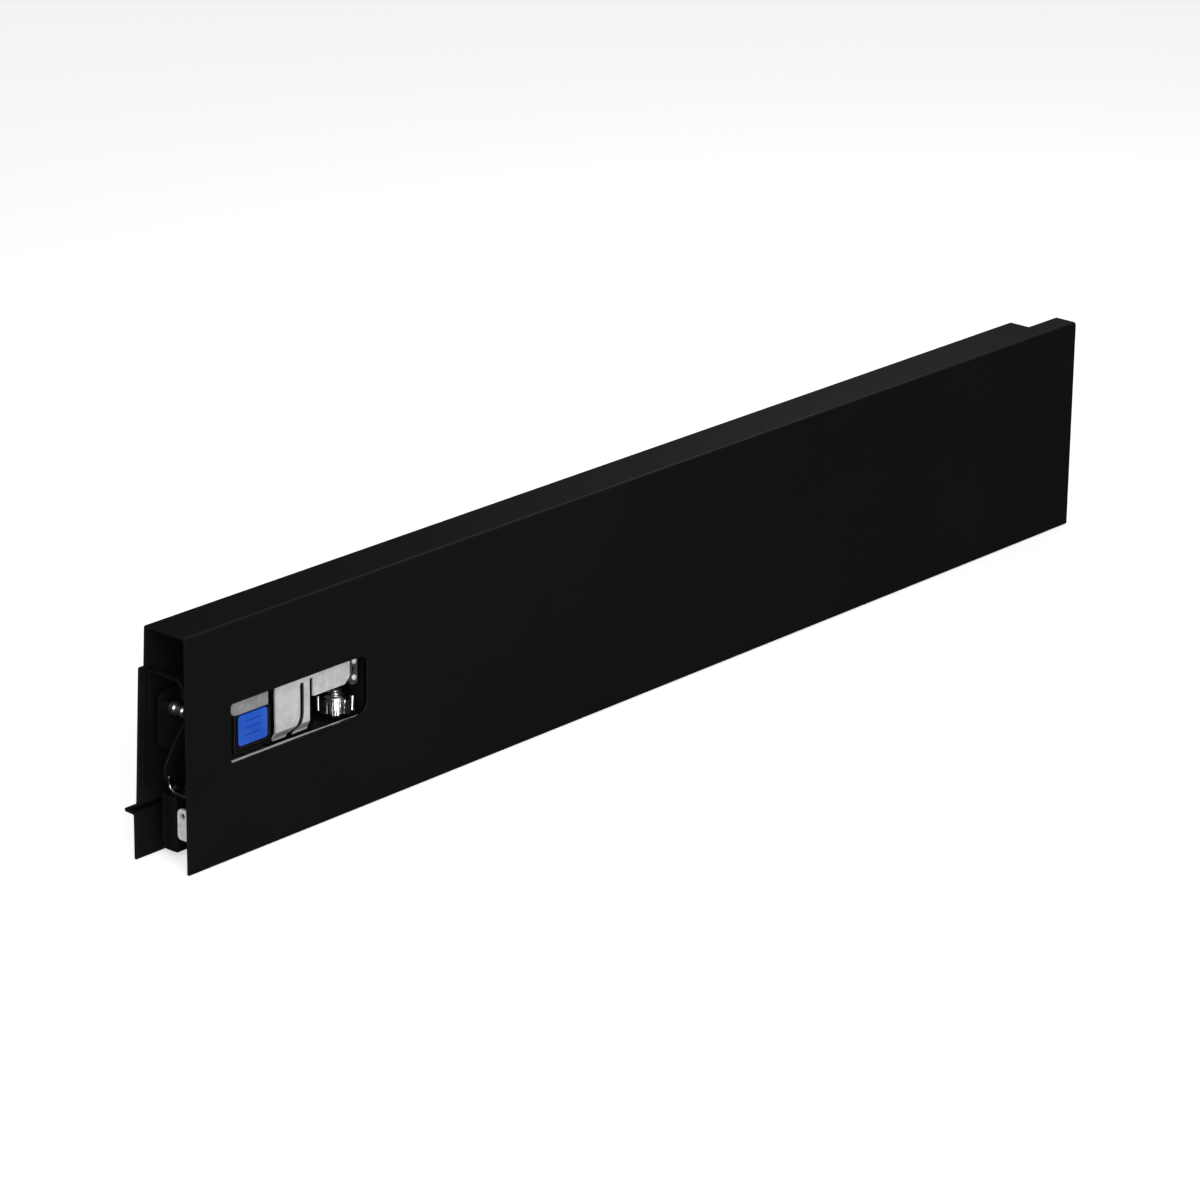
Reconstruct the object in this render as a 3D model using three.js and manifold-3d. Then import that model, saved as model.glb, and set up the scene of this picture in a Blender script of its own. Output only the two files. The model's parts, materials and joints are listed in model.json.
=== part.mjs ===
// A black double-walled drawer side riding on its concealed full-extension ball runner.
// Millimetres. X runs from the front end to the rear, Y from the outer wall towards the inside of
// the drawer, and Z up from the surface that the cabinet rail is screwed to.

import * as THREE from "three";
import { mergeVertices } from "three/addons/utils/BufferGeometryUtils.js";
import Module from "manifold-3d";

// ---- Driving dimensions -------------------------------------------------------------------

const GAP = 0.3; // between solids that touch on the real object
const FIT = 0.3; // radial clearance of a pin in its hole

const side = {
  length: 500,
  height: 87,
  sheet: 1,
  topWidth: 20,
  lean: 0.046, // how far the inner wall moves out for each millimetre down
  foot: 0.6, // the walls stop this far above the cabinet floor
  bend: 1.2,
  frontLip: 2.5, // the inner wall reaches this far past the outer wall
  frontLipTop: 72,
};
const ledge = { tip: 28.8, rootTop: 21.4, tipTop: 18.3, tipBottom: 17.1, rootBottom: 16.9 };
const lowerWall = 24.4; // outer face of the inner wall below the ledge
const rearNotch = { length: 18.5, from: 10 };
const rearFlange = { width: 9, bottom: 27 };
const windowHole = { front: 20.9, rear: 87.5, bottom: 35.5, top: 57.3, small: 1.2, large: 4.5 };

const rail = {
  sheet: 1.2,
  centre: 12.2, // y of the runner's middle plane
  halfWidth: 8.4,
  channelHeight: 11,
  lipWidth: 4.1,
  headHalfWidth: 6.2,
  headBottom: 4.9, // underside of the middle rail's lower head
  height: 22.8,
};
const cabinetRail = { front: 22, rear: 482, screwHoles: [60, 250, 440], holeRadius: 2.3 };
const middleRail = { front: 30, rear: 470 };
const drawerRail = { front: 20.4, rear: 478 };
const ball = { radius: 1.7, rowOffset: 5.2, inset: 8 };
const cageLength = 200;
const lowerCageFront = 157.5;
const upperCageFront = 152.5;
const saddle = { length: 30, fronts: [112, 384], top: 33 };

const spindleAt = { x: 80.4, y: 9 };
const wheel = { radius: 6.8, ribs: 8, ribDepth: 1.3, bottom: 36.4, rim: 5.4, hubRadius: 3.4, hub: 1.4 };
const spindle = { radius: 1.8, bottom: 32.4, top: 57, pitch: 1 };
const bracket = { front: 10, rear: 96, back: 18.6, sheet: 1, bottom: 28, top: 66, step: 60 };
const tray = { front: 20.5, rear: 91, near: 1.35, far: 18.3, sheet: 0.8, floor: 32.4, lipTop: 35.8 };
const carriage = { front: 45.1, rear: 81.6, near: 3, sheet: 0.8, top: 62.2, leg: 16, legBottom: 55 };
const carrier = { front: 3.8, rear: 87, near: 17.1, far: 18.3, bottom: 40.5, top: 62.2, rearTop: 59.8 };
const button = { front: 26.2, rear: 40.2, bottom: 39.7, top: 50.9, near: 1.9, depth: 4.1, stem: 2 };
const leverPivot = { x: 18, z: 46, radius: 1.8 };
const lever = { near: 15.4, far: 16.6 };

// ---- Materials ----------------------------------------------------------------------------

const finishes = {
  blackPaint: { color: 0x141415, roughness: 0.55, metalness: 0.1 },
  zinc: { color: 0xb4b7ba, roughness: 0.35, metalness: 0.9 },
  darkZinc: { color: 0x7d7f82, roughness: 0.4, metalness: 0.9 },
  steel: { color: 0xd2d4d6, roughness: 0.18, metalness: 1 },
  blackPlastic: { color: 0x161617, roughness: 0.5, metalness: 0 },
  bluePlastic: { color: 0x2455c8, roughness: 0.4, metalness: 0 },
  whitePlastic: { color: 0xd8d8d2, roughness: 0.45, metalness: 0 },
};

function material(name) {
  return new THREE.MeshStandardMaterial(finishes[name]);
}

// ---- Solids: joins and cuts ---------------------------------------------------------------

const wasm = await Module();
wasm.setup();

function toSolid(geometry) {
  const bare = geometry.clone();
  bare.deleteAttribute("normal");
  bare.deleteAttribute("uv");
  const merged = mergeVertices(bare, 1e-4);
  return new wasm.Manifold(
    new wasm.Mesh({
      numProp: 3,
      vertProperties: new Float32Array(merged.attributes.position.array),
      triVerts: new Uint32Array(merged.index.array),
    }),
  );
}

function toGeometry(solid) {
  const mesh = solid.getMesh();
  const geometry = new THREE.BufferGeometry();
  geometry.setAttribute("position", new THREE.BufferAttribute(mesh.vertProperties, 3));
  geometry.setIndex(new THREE.BufferAttribute(mesh.triVerts, 1));
  return geometry;
}

function cut(base, ...tools) {
  return toGeometry(tools.reduce((solid, tool) => solid.subtract(toSolid(tool)), toSolid(base)));
}

function join(base, ...more) {
  return toGeometry(more.reduce((solid, extra) => solid.add(toSolid(extra)), toSolid(base)));
}

// ---- Shapes and extrusions ----------------------------------------------------------------

function polygon(points) {
  return new THREE.Shape(points.map(([a, b]) => new THREE.Vector2(a, b)));
}

// Points of an arc, from one angle to another in degrees.
function arc(a, b, radius, start, end, steps) {
  return Array.from({ length: steps + 1 }, (_, i) => {
    const angle = THREE.MathUtils.degToRad(start + ((end - start) * i) / steps);
    return [a + radius * Math.cos(angle), b + radius * Math.sin(angle)];
  });
}

// A rectangle with its own radius at each corner: front bottom, rear bottom, rear top, front top.
function roundedRectangle(left, right, bottom, top, radii) {
  const [a, b, c, d] = radii;
  const steps = 4;
  return polygon([
    ...arc(left + a, bottom + a, a, 180, 270, steps),
    ...arc(right - b, bottom + b, b, 270, 360, steps),
    ...arc(right - c, top - c, c, 0, 90, steps),
    ...arc(left + d, top - d, d, 90, 180, steps),
  ]);
}

function extrude(shape, depth) {
  return new THREE.ExtrudeGeometry(shape, { depth, bevelEnabled: false, curveSegments: 8 });
}

// A shape drawn in (y, z), extruded along X.
function alongX(shape, from, to) {
  const turn = new THREE.Matrix4().set(0, 0, 1, from, 1, 0, 0, 0, 0, 1, 0, 0, 0, 0, 0, 1);
  return extrude(shape, to - from).applyMatrix4(turn);
}

// A shape drawn in (x, z), extruded along Y.
function alongY(shape, from, to) {
  const turn = new THREE.Matrix4().set(1, 0, 0, 0, 0, 0, -1, to, 0, 1, 0, 0, 0, 0, 0, 1);
  return extrude(shape, to - from).applyMatrix4(turn);
}

// A shape drawn in (x, y), extruded along Z.
function alongZ(shape, from, to) {
  return extrude(shape, to - from).translate(0, 0, from);
}

function box(x0, x1, y0, y1, z0, z1) {
  const geometry = new THREE.BoxGeometry(x1 - x0, y1 - y0, z1 - z0);
  return geometry.translate((x0 + x1) / 2, (y0 + y1) / 2, (z0 + z1) / 2);
}

function rodAlongY(radius, from, to, x, z, sides = 20) {
  return new THREE.CylinderGeometry(radius, radius, to - from, sides).translate(x, (from + to) / 2, z);
}

function rodAlongZ(radius, from, to, x, y, sides = 20) {
  const rod = new THREE.CylinderGeometry(radius, radius, to - from, sides).rotateX(Math.PI / 2);
  return rod.translate(x, y, (from + to) / 2);
}

// A turned piece on an axis along Y: profile points are [radius, y].
function turnedAlongY(profile, x, z, sides = 20) {
  const points = profile.map(([radius, y]) => new THREE.Vector2(radius, y));
  return new THREE.LatheGeometry(points, sides).translate(x, 0, z);
}

// A turned piece on an axis along Z: profile points are [radius, z].
function turnedAlongZ(profile, x, y, sides = 20) {
  const points = profile.map(([radius, z]) => new THREE.Vector2(radius, z));
  return new THREE.LatheGeometry(points, sides).rotateX(Math.PI / 2).translate(x, y, 0);
}

class Helix extends THREE.Curve {
  constructor(radius, turns, height) {
    super();
    Object.assign(this, { radius, turns, height });
  }
  getPoint(t) {
    const angle = 2 * Math.PI * this.turns * t;
    const out = [this.radius * Math.cos(angle), this.height * t, this.radius * Math.sin(angle)];
    return new THREE.Vector3(...out);
  }
}

// A coil spring on an axis along Y.
function coilAlongY(radius, wire, turns, from, to, x, z) {
  const section = polygon(arc(0, 0, wire, 0, 300, 5));
  const path = new Helix(radius, turns, to - from - 2 * wire);
  const steps = Math.round(turns * 12);
  const coil = new THREE.ExtrudeGeometry(section, { steps, extrudePath: path, bevelEnabled: false });
  return coil.translate(x, from + wire, z);
}

// ---- The drawer side ----------------------------------------------------------------------

function innerWallAt(z) {
  return side.topWidth + side.lean * (side.height - z);
}

function sideProfile() {
  const { length, height, sheet, topWidth, bend, foot, frontLip, frontLipTop } = side;
  const leanAngle = THREE.MathUtils.radToDeg(Math.atan(side.lean));
  const innerTop = height - sheet;
  const grooveRoot = ledge.rootTop - 0.6;
  const section = polygon([
    [0, foot],
    ...arc(bend, height - bend, bend, 180, 90, 4),
    ...arc(topWidth - bend, height - bend, bend, 90, -leanAngle, 4),
    [innerWallAt(ledge.rootTop), ledge.rootTop],
    [ledge.tip, ledge.tipTop],
    [ledge.tip, ledge.tipBottom],
    [lowerWall, ledge.rootBottom],
    [lowerWall, foot],
    [lowerWall - sheet, foot],
    [lowerWall - sheet, ledge.rootBottom + sheet],
    [ledge.tip - 1.6, ledge.tipBottom + sheet],
    [innerWallAt(grooveRoot) - sheet, grooveRoot],
    [innerWallAt(innerTop) - sheet, innerTop],
    [sheet, innerTop],
    [sheet, foot],
  ]);
  const { front, rear, bottom, top, small, large } = windowHole;
  const opening = roundedRectangle(front, rear, bottom, top, [small, large, large - 1, small]);
  const past = 5;
  const halfWay = rearNotch.from;
  const notchStart = length - rearNotch.length;
  const flangeTop = height - sheet / 2;
  const flangeEnd = sheet / 2 + rearFlange.width;
  return cut(
    join(
      cut(
        alongX(section, -frontLip, length),
        box(-frontLip - past, 0, -past, halfWay, -past, height + past),
        box(-frontLip - past, 0, halfWay - past, ledge.tip, frontLipTop, height + past),
        box(notchStart, length + past, halfWay, ledge.tip + past, -past, height + past),
      ),
      box(length - sheet, length, sheet / 2, flangeEnd, rearFlange.bottom, flangeTop),
    ),
    alongY(opening, -past, past),
    ...rearRivets.map(({ x, z }) => rodAlongY(2 + FIT, past, ledge.tip, x, z, 12)),
  );
}

// The bracket that takes the drawer's back panel. Its riveted half lies inside the inner wall, and a
// step brings its rear half, with the panel's screw holes, out through the notch.
const rearRivets = [
  { name: "rear_rivet_lower", x: 472, z: 42 },
  { name: "rear_rivet_upper", x: 472, z: 68 },
];
const rearBracketPlate = { front: 463, rear: 498, near: 17.6, far: 18.8, bottom: 31, top: 78, step: 1.2 };

function rearBracket() {
  const { front, rear, near, far, bottom, top, step } = rearBracketPlate;
  const tabFront = side.length - rearNotch.length + 0.8;
  const riveted = roundedRectangle(front, tabFront, bottom, top, [3, 0.3, 0.3, 3]);
  const tab = roundedRectangle(tabFront, rear, bottom, top, [0.3, 3, 3, 0.3]);
  const stiffener = box(front, rear - 4, near - 4, near + 0.5, bottom, bottom + far - near);
  const web = box(tabFront - 0.4, tabFront + 0.8, near, near + step + 0.5, bottom, top);
  const panelHoles = [40, 55, 70].map((z) => rodAlongY(2, near - 5, far + 5, 491, z, 12));
  const rivetHoles = rearRivets.map(({ x, z }) => rodAlongY(2 + FIT, near - 5, far + 5, x, z, 12));
  return cut(
    join(alongY(riveted, near, far), alongY(tab, near + step, far + step), web, stiffener),
    ...panelHoles,
    ...rivetHoles,
  );
}

// A rivet through the rear bracket and the leaning inner wall, with a low head on each side.
function rearRivet({ x, z }) {
  const inside = rearBracketPlate.near - GAP;
  const outside = innerWallAt(z) + 0.25;
  const profile = [
    [0, inside - 1],
    [2.6, inside - 0.8],
    [3.4, inside],
    [2, inside],
    [2, outside],
    [3.2, outside],
    [2.6, outside + 0.7],
    [0, outside + 0.9],
  ];
  return turnedAlongY(profile, x, z, 16);
}

// A saddle that carries the side on the drawer rail: a tray with an upright against each wall.
function railSaddle() {
  const base = rail.height + GAP;
  const sheet = rail.sheet;
  const near = side.sheet + 0.4;
  const far = innerWallAt(saddle.top) - side.sheet - 0.4;
  const section = polygon([
    [near, saddle.top],
    [near, base],
    [far, base],
    [far, saddle.top],
    [far - sheet, saddle.top],
    [far - sheet, base + sheet],
    [near + sheet, base + sheet],
    [near + sheet, saddle.top],
  ]);
  const middle = saddle.length / 2;
  return cut(alongX(section, 0, saddle.length), rodAlongZ(3, base - 5, base + 5, middle, rail.centre, 16));
}

// ---- The runner ---------------------------------------------------------------------------

// A channel with inward lips, open upwards from z = 0.
function channelSection() {
  const { sheet, centre, halfWidth, channelHeight, lipWidth } = rail;
  const outer = [centre - halfWidth, centre + halfWidth];
  const inner = [outer[0] + sheet, outer[1] - sheet];
  const lip = [outer[0] + lipWidth, outer[1] - lipWidth];
  const underLip = channelHeight - sheet;
  return [
    [outer[0], 0],
    [outer[1], 0],
    [outer[1], channelHeight],
    [lip[1], channelHeight],
    [lip[1], underLip],
    [inner[1], underLip],
    [inner[1], sheet],
    [inner[0], sheet],
    [inner[0], underLip],
    [lip[0], underLip],
    [lip[0], channelHeight],
    [outer[0], channelHeight],
  ];
}

// The runner is the same above and below its middle, so the upper half is the lower one turned over.
function turnedOver(points) {
  return points.map(([y, z]) => [y, rail.height - z]);
}

function cabinetRailGeometry() {
  const { front, rear, screwHoles, holeRadius } = cabinetRail;
  const holes = screwHoles.map((x) => rodAlongZ(holeRadius, -1, rail.sheet + 1, x, rail.centre, 16));
  return cut(alongX(polygon(channelSection()), front, rear), ...holes);
}

function drawerRailGeometry() {
  return alongX(polygon(turnedOver(channelSection())), drawerRail.front, drawerRail.rear);
}

// The I section of the middle rail: a head in each channel and a web between them.
function middleSection(headGrowth, webHalf) {
  const half = rail.headHalfWidth;
  const low = rail.headBottom - headGrowth;
  const high = rail.headBottom + rail.sheet + headGrowth;
  const lowerHalf = [
    [rail.centre - webHalf, high],
    [rail.centre - half, high],
    [rail.centre - half, low],
    [rail.centre + half, low],
    [rail.centre + half, high],
    [rail.centre + webHalf, high],
  ];
  return [...lowerHalf, ...turnedOver(lowerHalf).reverse()];
}

function middleRailGeometry() {
  const web = rail.sheet / 2;
  return alongX(polygon(middleSection(0, web)), middleRail.front, middleRail.rear);
}

// A moulded cap over each end of the middle rail, which takes the knock at the end of its travel.
function middleRailBuffer() {
  return alongX(polygon(middleSection(1.6, 2.6)), 0, 4);
}

// Ball rows: two under and two over each head of the middle rail.
const underHead = (rail.sheet + rail.headBottom) / 2;
const overHead = (rail.headBottom + rail.channelHeight) / 2;
const rowSides = [-ball.rowOffset, ball.rowOffset].map((offset) => rail.centre + offset);
const ballStations = [ball.inset, cageLength - ball.inset];

function cageSection() {
  const inner = rail.headHalfWidth + 0.3;
  const outer = rail.halfWidth - rail.sheet - 0.3;
  const [low, high] = [rail.centre - outer, rail.centre + outer];
  const [lowIn, highIn] = [rail.centre - inner, rail.centre + inner];
  const flapEnd = rail.centre - 2.6;
  const farFlapEnd = rail.centre + 2.6;
  const [floor, floorTop] = [underHead - 0.65, underHead + 0.65];
  const [roof, roofTop] = [overHead - 0.65, overHead + 0.65];
  return [
    [low, floor],
    [high, floor],
    [high, roofTop],
    [farFlapEnd, roofTop],
    [farFlapEnd, roof],
    [highIn, roof],
    [highIn, floorTop],
    [lowIn, floorTop],
    [lowIn, roof],
    [flapEnd, roof],
    [flapEnd, roofTop],
    [low, roofTop],
  ];
}

// A moulded strip that keeps the balls apart. The upper one is the same strip turned over.
function ballCage(upper) {
  const section = upper ? turnedOver(cageSection()) : cageSection();
  const pockets = ballStations.flatMap((x) =>
    rowSides.map((y) => rodAlongZ(ball.radius + 0.2, -1, rail.height + 1, x, y, 12)),
  );
  return cut(alongX(polygon(section), 0, cageLength), ...pockets);
}

// The block that closes the cabinet rail at the rear and stops the middle and drawer rails.
function cabinetRearStop() {
  const { centre, halfWidth, height } = rail;
  const outline = [
    [centre - halfWidth, 0],
    [centre + halfWidth, 0],
    [centre + halfWidth, height - 4],
    [centre + halfWidth - 4, height],
    [centre - halfWidth + 4, height],
    [centre - halfWidth, height - 4],
  ];
  return alongX(polygon(outline), cabinetRail.rear + GAP, cabinetRail.rear + GAP + 7);
}

// The moulded block on the drawer rail's front end, with two upright grooves and a chamfered foot.
const frontBlock = { front: 6, near: 13, far: 20.6, bottom: 3.2, top: 24, rear: 20 };

function runnerFrontBlock() {
  const { front, near, far, bottom, top, rear } = frontBlock;
  const plan = polygon([
    [front + 1.2, near],
    [rear, near],
    [rear, far],
    [front + 1.2, far],
    [front, far - 1.2],
    [front, far - 2.4],
    [front + 0.9, far - 2.7],
    [front + 0.9, far - 3.6],
    [front, far - 3.9],
    [front, near + 2.7],
    [front + 0.9, near + 2.4],
    [front + 0.9, near + 1.5],
    [front, near + 1.2],
  ]);
  const chamfer = polygon([
    [front - 1, bottom - 1],
    [front + 2, bottom - 1],
    [front - 1, bottom + 2],
  ]);
  return cut(alongZ(plan, bottom, top), alongY(chamfer, near - 1, far + 1));
}

// An angle plate: a flange across the front of the bay with a hole, and a leg along the drawer rail.
const catchPlate = { front: 6.4, leg: 56, near: 2.2, far: 12, bottom: 9, top: 20.4, sheet: 1.2 };
const catchPlateRivets = [
  { name: "catch_plate_rivet_front", x: 32, z: 15.6 },
  { name: "catch_plate_rivet_rear", x: 48, z: 15.6 },
];

function frontCatchPlate() {
  const { front, leg, near, far, bottom, top, sheet } = catchPlate;
  const flange = roundedRectangle(near, far, bottom, top, [0.6, 1.5, 2, 0.6]);
  const legOutline = roundedRectangle(front + 0.4, leg, 11.4, 19.8, [0.5, 2, 2, 0.5]);
  const hole = new THREE.CylinderGeometry(1.2, 1.2, 6, 16).rotateZ(Math.PI / 2);
  return cut(
    join(alongX(flange, front, front + sheet), alongY(legOutline, near, near + sheet)),
    hole.translate(front, 9.6, 17.9),
    ...catchPlateRivets.map(({ x, z }) => rodAlongY(1.2 + FIT, 0, 5, x, z, 12)),
  );
}

function catchPlateRivet({ x, z }) {
  const head = catchPlate.near - 0.75;
  const profile = [
    [0, head],
    [1.9, head + 0.15],
    [2.2, head + 0.45],
    [1.2, head + 0.45],
    [1.2, catchPlate.near + catchPlate.sheet],
    [0, catchPlate.near + catchPlate.sheet],
  ];
  return turnedAlongY(profile, x, z, 16);
}

// ---- The front fixing and its adjuster ----------------------------------------------------

// The fixed back plate, and the tray in front of it with a lip behind the window's lower edge.
function fixingPlate() {
  const { front, rear, back, sheet, bottom, top, step } = bracket;
  const outline = roundedRectangle(front, rear, bottom, top, [4, 4, 4, 4]);
  const lowFront = box(front - 1, carriage.front, back - 1, back + sheet + 1, step, top + 1);
  return cut(alongY(outline, back, back + sheet), lowFront);
}

function fixingTray() {
  const { front, rear, near, far, sheet, floor, lipTop } = tray;
  const section = polygon([
    [near, lipTop],
    [near, floor],
    [far, floor],
    [far, floor + sheet],
    [near + sheet, floor + sheet],
    [near + sheet, lipTop],
  ]);
  const hole = rodAlongZ(spindle.radius + FIT, floor - 5, floor + 5, spindleAt.x, spindleAt.y);
  return cut(alongX(section, front, rear), hole);
}

// The sliding sheet seen through the window: an upright plate whose foot is folded inwards, a bridge
// over the top, and a leg down the back. A J-shaped slot parts its tongue from the strip beside it.
const strip = { front: 58.9, rear: 61.8, slotRear: 63.6, slotTop: 54.6 };
const foldAt = 38.9;
const foot = { bottom: 35.7, reach: 1.4, lip: 0.8 };
const rearPlateBottom = 47.6;

function heightCarriage() {
  const { front, rear, near, sheet, top, leg, legBottom } = carriage;
  const foldedPlate = polygon([
    [near, top],
    [near, foldAt],
    [near + foot.reach, foot.bottom + foot.lip],
    [near + foot.reach, foot.bottom],
    [near + foot.reach + sheet, foot.bottom],
    [near + foot.reach + sheet, foot.bottom + foot.lip + 0.2],
    [near + sheet, foldAt + 0.2],
    [near + sheet, top],
  ]);
  const chamfer = 2.4;
  const rearPlate = polygon([
    [strip.rear - 0.5, strip.slotTop],
    [strip.slotRear, strip.slotTop],
    [strip.slotRear, rearPlateBottom],
    [rear - chamfer, rearPlateBottom],
    [rear, rearPlateBottom + chamfer],
    [rear, top],
    [strip.rear - 0.5, top],
  ]);
  const backLeg = roundedRectangle(front, rear, legBottom, top, [2, 2, 0.6, 0.6]);
  const holes = carrierRivets.map(({ x, z }) => rodAlongY(1.4 + FIT, leg - 1, leg + sheet + 1, x, z, 12));
  return cut(
    join(
      alongX(foldedPlate, front, strip.rear),
      alongY(rearPlate, near, near + sheet),
      box(front, rear, near + 0.5, leg + 0.5, top - sheet, top),
      alongY(backLeg, leg, leg + sheet),
    ),
    alongY(hookSlot(), near - 1, near + 4),
    ...holes,
  );
}

// The J-shaped slot: a straight run down, then a wider curl forwards that leaves through the foot.
function hookSlot() {
  const slotFront = 57.1;
  const slotRear = strip.front;
  const halfWidth = (slotRear - slotFront) / 2;
  const [inner, outer, curlTop, roundTop, slotBottom] = [6.7, 8.7, 43.4, 53.3, 34.6];
  return polygon([
    [slotFront - inner, slotBottom],
    ...arc(slotFront - inner, curlTop, inner, -76, 0, 6),
    ...arc(slotFront + halfWidth, roundTop, halfWidth, 180, 0, 4),
    ...arc(slotRear - outer, curlTop, outer, 0, -76, 6),
    [slotRear - outer + 2, slotBottom],
  ]);
}

// The black arm behind it, which reaches forward to carry the pin and the lever.
const carrierRivets = [
  { name: "carrier_rivet_front", x: 49, z: 58.5 },
  { name: "carrier_rivet_rear", x: 66, z: 58.5 },
];

function catchCarrier() {
  const { front, rear, near, far, bottom, top, rearTop } = carrier;
  const outline = roundedRectangle(front, rear, bottom, top, [4, 4, 0.6, 4]);
  const collar = rodAlongY(pin.radius, pin.far + GAP, near + 0.5, pin.x, pin.z);
  const armRelief = box(carriage.rear, rear + 1, near - 1, far + 1, rearTop, top + 1);
  return cut(
    join(alongY(outline, near, far), collar),
    armRelief,
    rodAlongY(leverPivot.radius + FIT, near - 1, far + 1, leverPivot.x, leverPivot.z),
    rodAlongY(pin.root + FIT, pin.far, far + 1, pin.x, pin.z),
    ...carrierRivets.map(({ x, z }) => rodAlongY(1.4 + FIT, near - 1, far + 1, x, z, 12)),
  );
}

function carrierRivet({ x, z }) {
  const head = carriage.leg - GAP;
  const profile = [
    [0, head - 0.9],
    [1.8, head - 0.7],
    [2.4, head],
    [1.4, head],
    [1.4, carrier.far],
    [0, carrier.far],
  ];
  return turnedAlongY(profile, x, z, 16);
}

function spindleNut() {
  const block = box(spindleAt.x - 3.8, spindleAt.x + 3.8, 4.6, carriage.leg + carriage.sheet, 47.6, 53.2);
  return cut(block, rodAlongZ(spindle.radius + FIT, 40, 60, spindleAt.x, spindleAt.y));
}

// The ribbed wheel that a fingertip or a screwdriver turns through the window.
function adjusterWheel() {
  const { radius, ribs, ribDepth, bottom, rim, hubRadius, hub } = wheel;
  const step = 360 / ribs;
  const ring = Array.from({ length: ribs }, (_, i) => {
    const crest = arc(0, 0, radius, i * step, (i + 0.5) * step, 1);
    const valley = arc(0, 0, radius - ribDepth, (i + 0.6) * step, (i + 0.9) * step, 1);
    return [...crest, ...valley];
  }).flat();
  const rimBody = alongZ(polygon(ring), bottom, bottom + rim);
  const base = bottom + rim;
  const crown = turnedAlongZ(
    [
      [0, base - 0.5],
      [radius - 1.6, base - 0.5],
      [hubRadius + 0.5, base + 0.35],
      [hubRadius, base + 0.35],
      [hubRadius, base + hub - 0.3],
      [hubRadius - 0.3, base + hub],
      [0, base + hub],
    ],
    0,
    0,
  );
  const bore = rodAlongZ(spindle.radius + FIT, 0, 90, 0, 0);
  return cut(join(rimBody, crown), bore).translate(spindleAt.x, spindleAt.y, 0);
}

// The moulded cradle that the wheel turns in: a floor that reaches forward as a tongue, a wall behind
// the wheel and one beside it.
const cradle = { front: 63.5, rear: 88.8, near: 2.7, far: 16.8, floor: 0.9, wall: 0.7, side: 1.2, tongue: 44 };

function wheelCradle() {
  const { front, rear, near, far, floor, wall, side: beside, tongue } = cradle;
  const bottom = tray.floor + tray.sheet + GAP;
  const [behindTop, besideTop] = [45.2, 60];
  const collar = rodAlongZ(spindle.radius + 1.6, bottom, wheel.bottom - GAP, spindleAt.x, spindleAt.y);
  const bore = rodAlongZ(spindle.radius + FIT, bottom - 1, wheel.bottom + 1, spindleAt.x, spindleAt.y);
  return cut(
    join(
      box(front, rear, near, far, bottom, bottom + floor),
      box(tongue, front + 1, carriage.near + foot.reach + carriage.sheet + 0.4, far, bottom, bottom + floor),
      box(front, rear, far - wall, far, bottom, behindTop),
      box(rear - beside, rear, near, far, bottom, besideTop),
      collar,
    ),
    bore,
  );
}

// The spindle, with its thread as plain rings where the nut runs.
function adjusterSpindle() {
  const { radius, bottom, top, pitch } = spindle;
  const threadStart = 46;
  const rings = Math.floor((top - 1 - threadStart) / pitch);
  const thread = Array.from({ length: rings }, (_, i) => [
    [radius - 0.35, threadStart + i * pitch],
    [radius, threadStart + (i + 0.5) * pitch],
  ]).flat();
  const profile = [[0, bottom], [radius, bottom], [radius, threadStart - 0.4], ...thread];
  return turnedAlongZ([...profile, [radius - 0.5, top - 0.5], [0, top]], spindleAt.x, spindleAt.y, 12);
}

// The bright pin that the front panel's upper hook drops on to: a head, a waist and a flange.
const pin = { x: 6.8, z: 56.7, radius: 2.3, waist: 1.7, near: 6.8, far: 13.8, root: 1.3 };

function upperCatchPin() {
  const { x, z, radius, waist, near, far, root } = pin;
  const profile = [
    [0, near],
    [radius - 1.2, near],
    [radius - 0.4, near + 0.35],
    [radius, near + 1],
    [radius, near + 1.6],
    [waist, near + 2.1],
    [waist, far - 2.6],
    [radius, far - 2.1],
    [radius, far],
    [root, far],
    [root, carrier.far],
    [0, carrier.far],
  ];
  return turnedAlongY(profile, x, z, 20);
}

function leverPivotPin() {
  const { x, z, radius } = leverPivot;
  const profile = [
    [0, 12.2],
    [radius + 0.8, 12.2],
    [radius + 1.2, 12.6],
    [radius + 1.2, lever.near - GAP],
    [radius, lever.near - GAP],
    [radius, carrier.far],
    [0, carrier.far],
  ];
  return turnedAlongY(profile, x, z, 16);
}

// The rocking lever: its nose carries the hook and its tail lies behind the button's stem.
function catchLever() {
  const outline = polygon([
    [4.4, 35.2],
    [4.4, 30],
    [7.8, 30],
    [8.6, 35],
    [15, 41.2],
    [26, 42.6],
    [38.6, 43.6],
    ...arc(39.2, 45.6, 2, 270, 450, 6),
    [27, 49],
    ...arc(leverPivot.x, leverPivot.z, 4.6, 60, 150, 5),
    [8, 41],
  ]);
  const hole = rodAlongY(leverPivot.radius + FIT, lever.near - 1, lever.far + 1, leverPivot.x, leverPivot.z);
  return cut(alongY(outline, lever.near, lever.far), hole);
}

// The curled hook on the lever's nose: a J of bright strip lying across the drawer side.
const hook = { front: 4.6, rear: 7.6, strip: 1.1, outer: 4.2, curl: 2.4, top: 31.8, bottom: 25.8, tip: 5.2 };

function catchHook() {
  const { front, rear, strip: thick, outer, curl, top, bottom, tip } = hook;
  const far = lever.near - GAP;
  const [farY, farZ] = [far - outer, bottom + outer];
  const [tipY, tipZ] = [tip + curl, bottom + curl];
  const tipTop = tipZ + 2.4;
  const section = polygon([
    [far, top],
    ...arc(farY, farZ, outer, 0, -90, 6),
    ...arc(tipY, tipZ, curl, 270, 180, 5),
    [tip, tipTop],
    [tip + thick, tipTop],
    ...arc(tipY, tipZ, curl - thick, 180, 270, 5),
    ...arc(farY, farZ, outer - thick, -90, 0, 6),
    [far - thick, top],
  ]);
  return alongX(section, front, rear);
}

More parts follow.
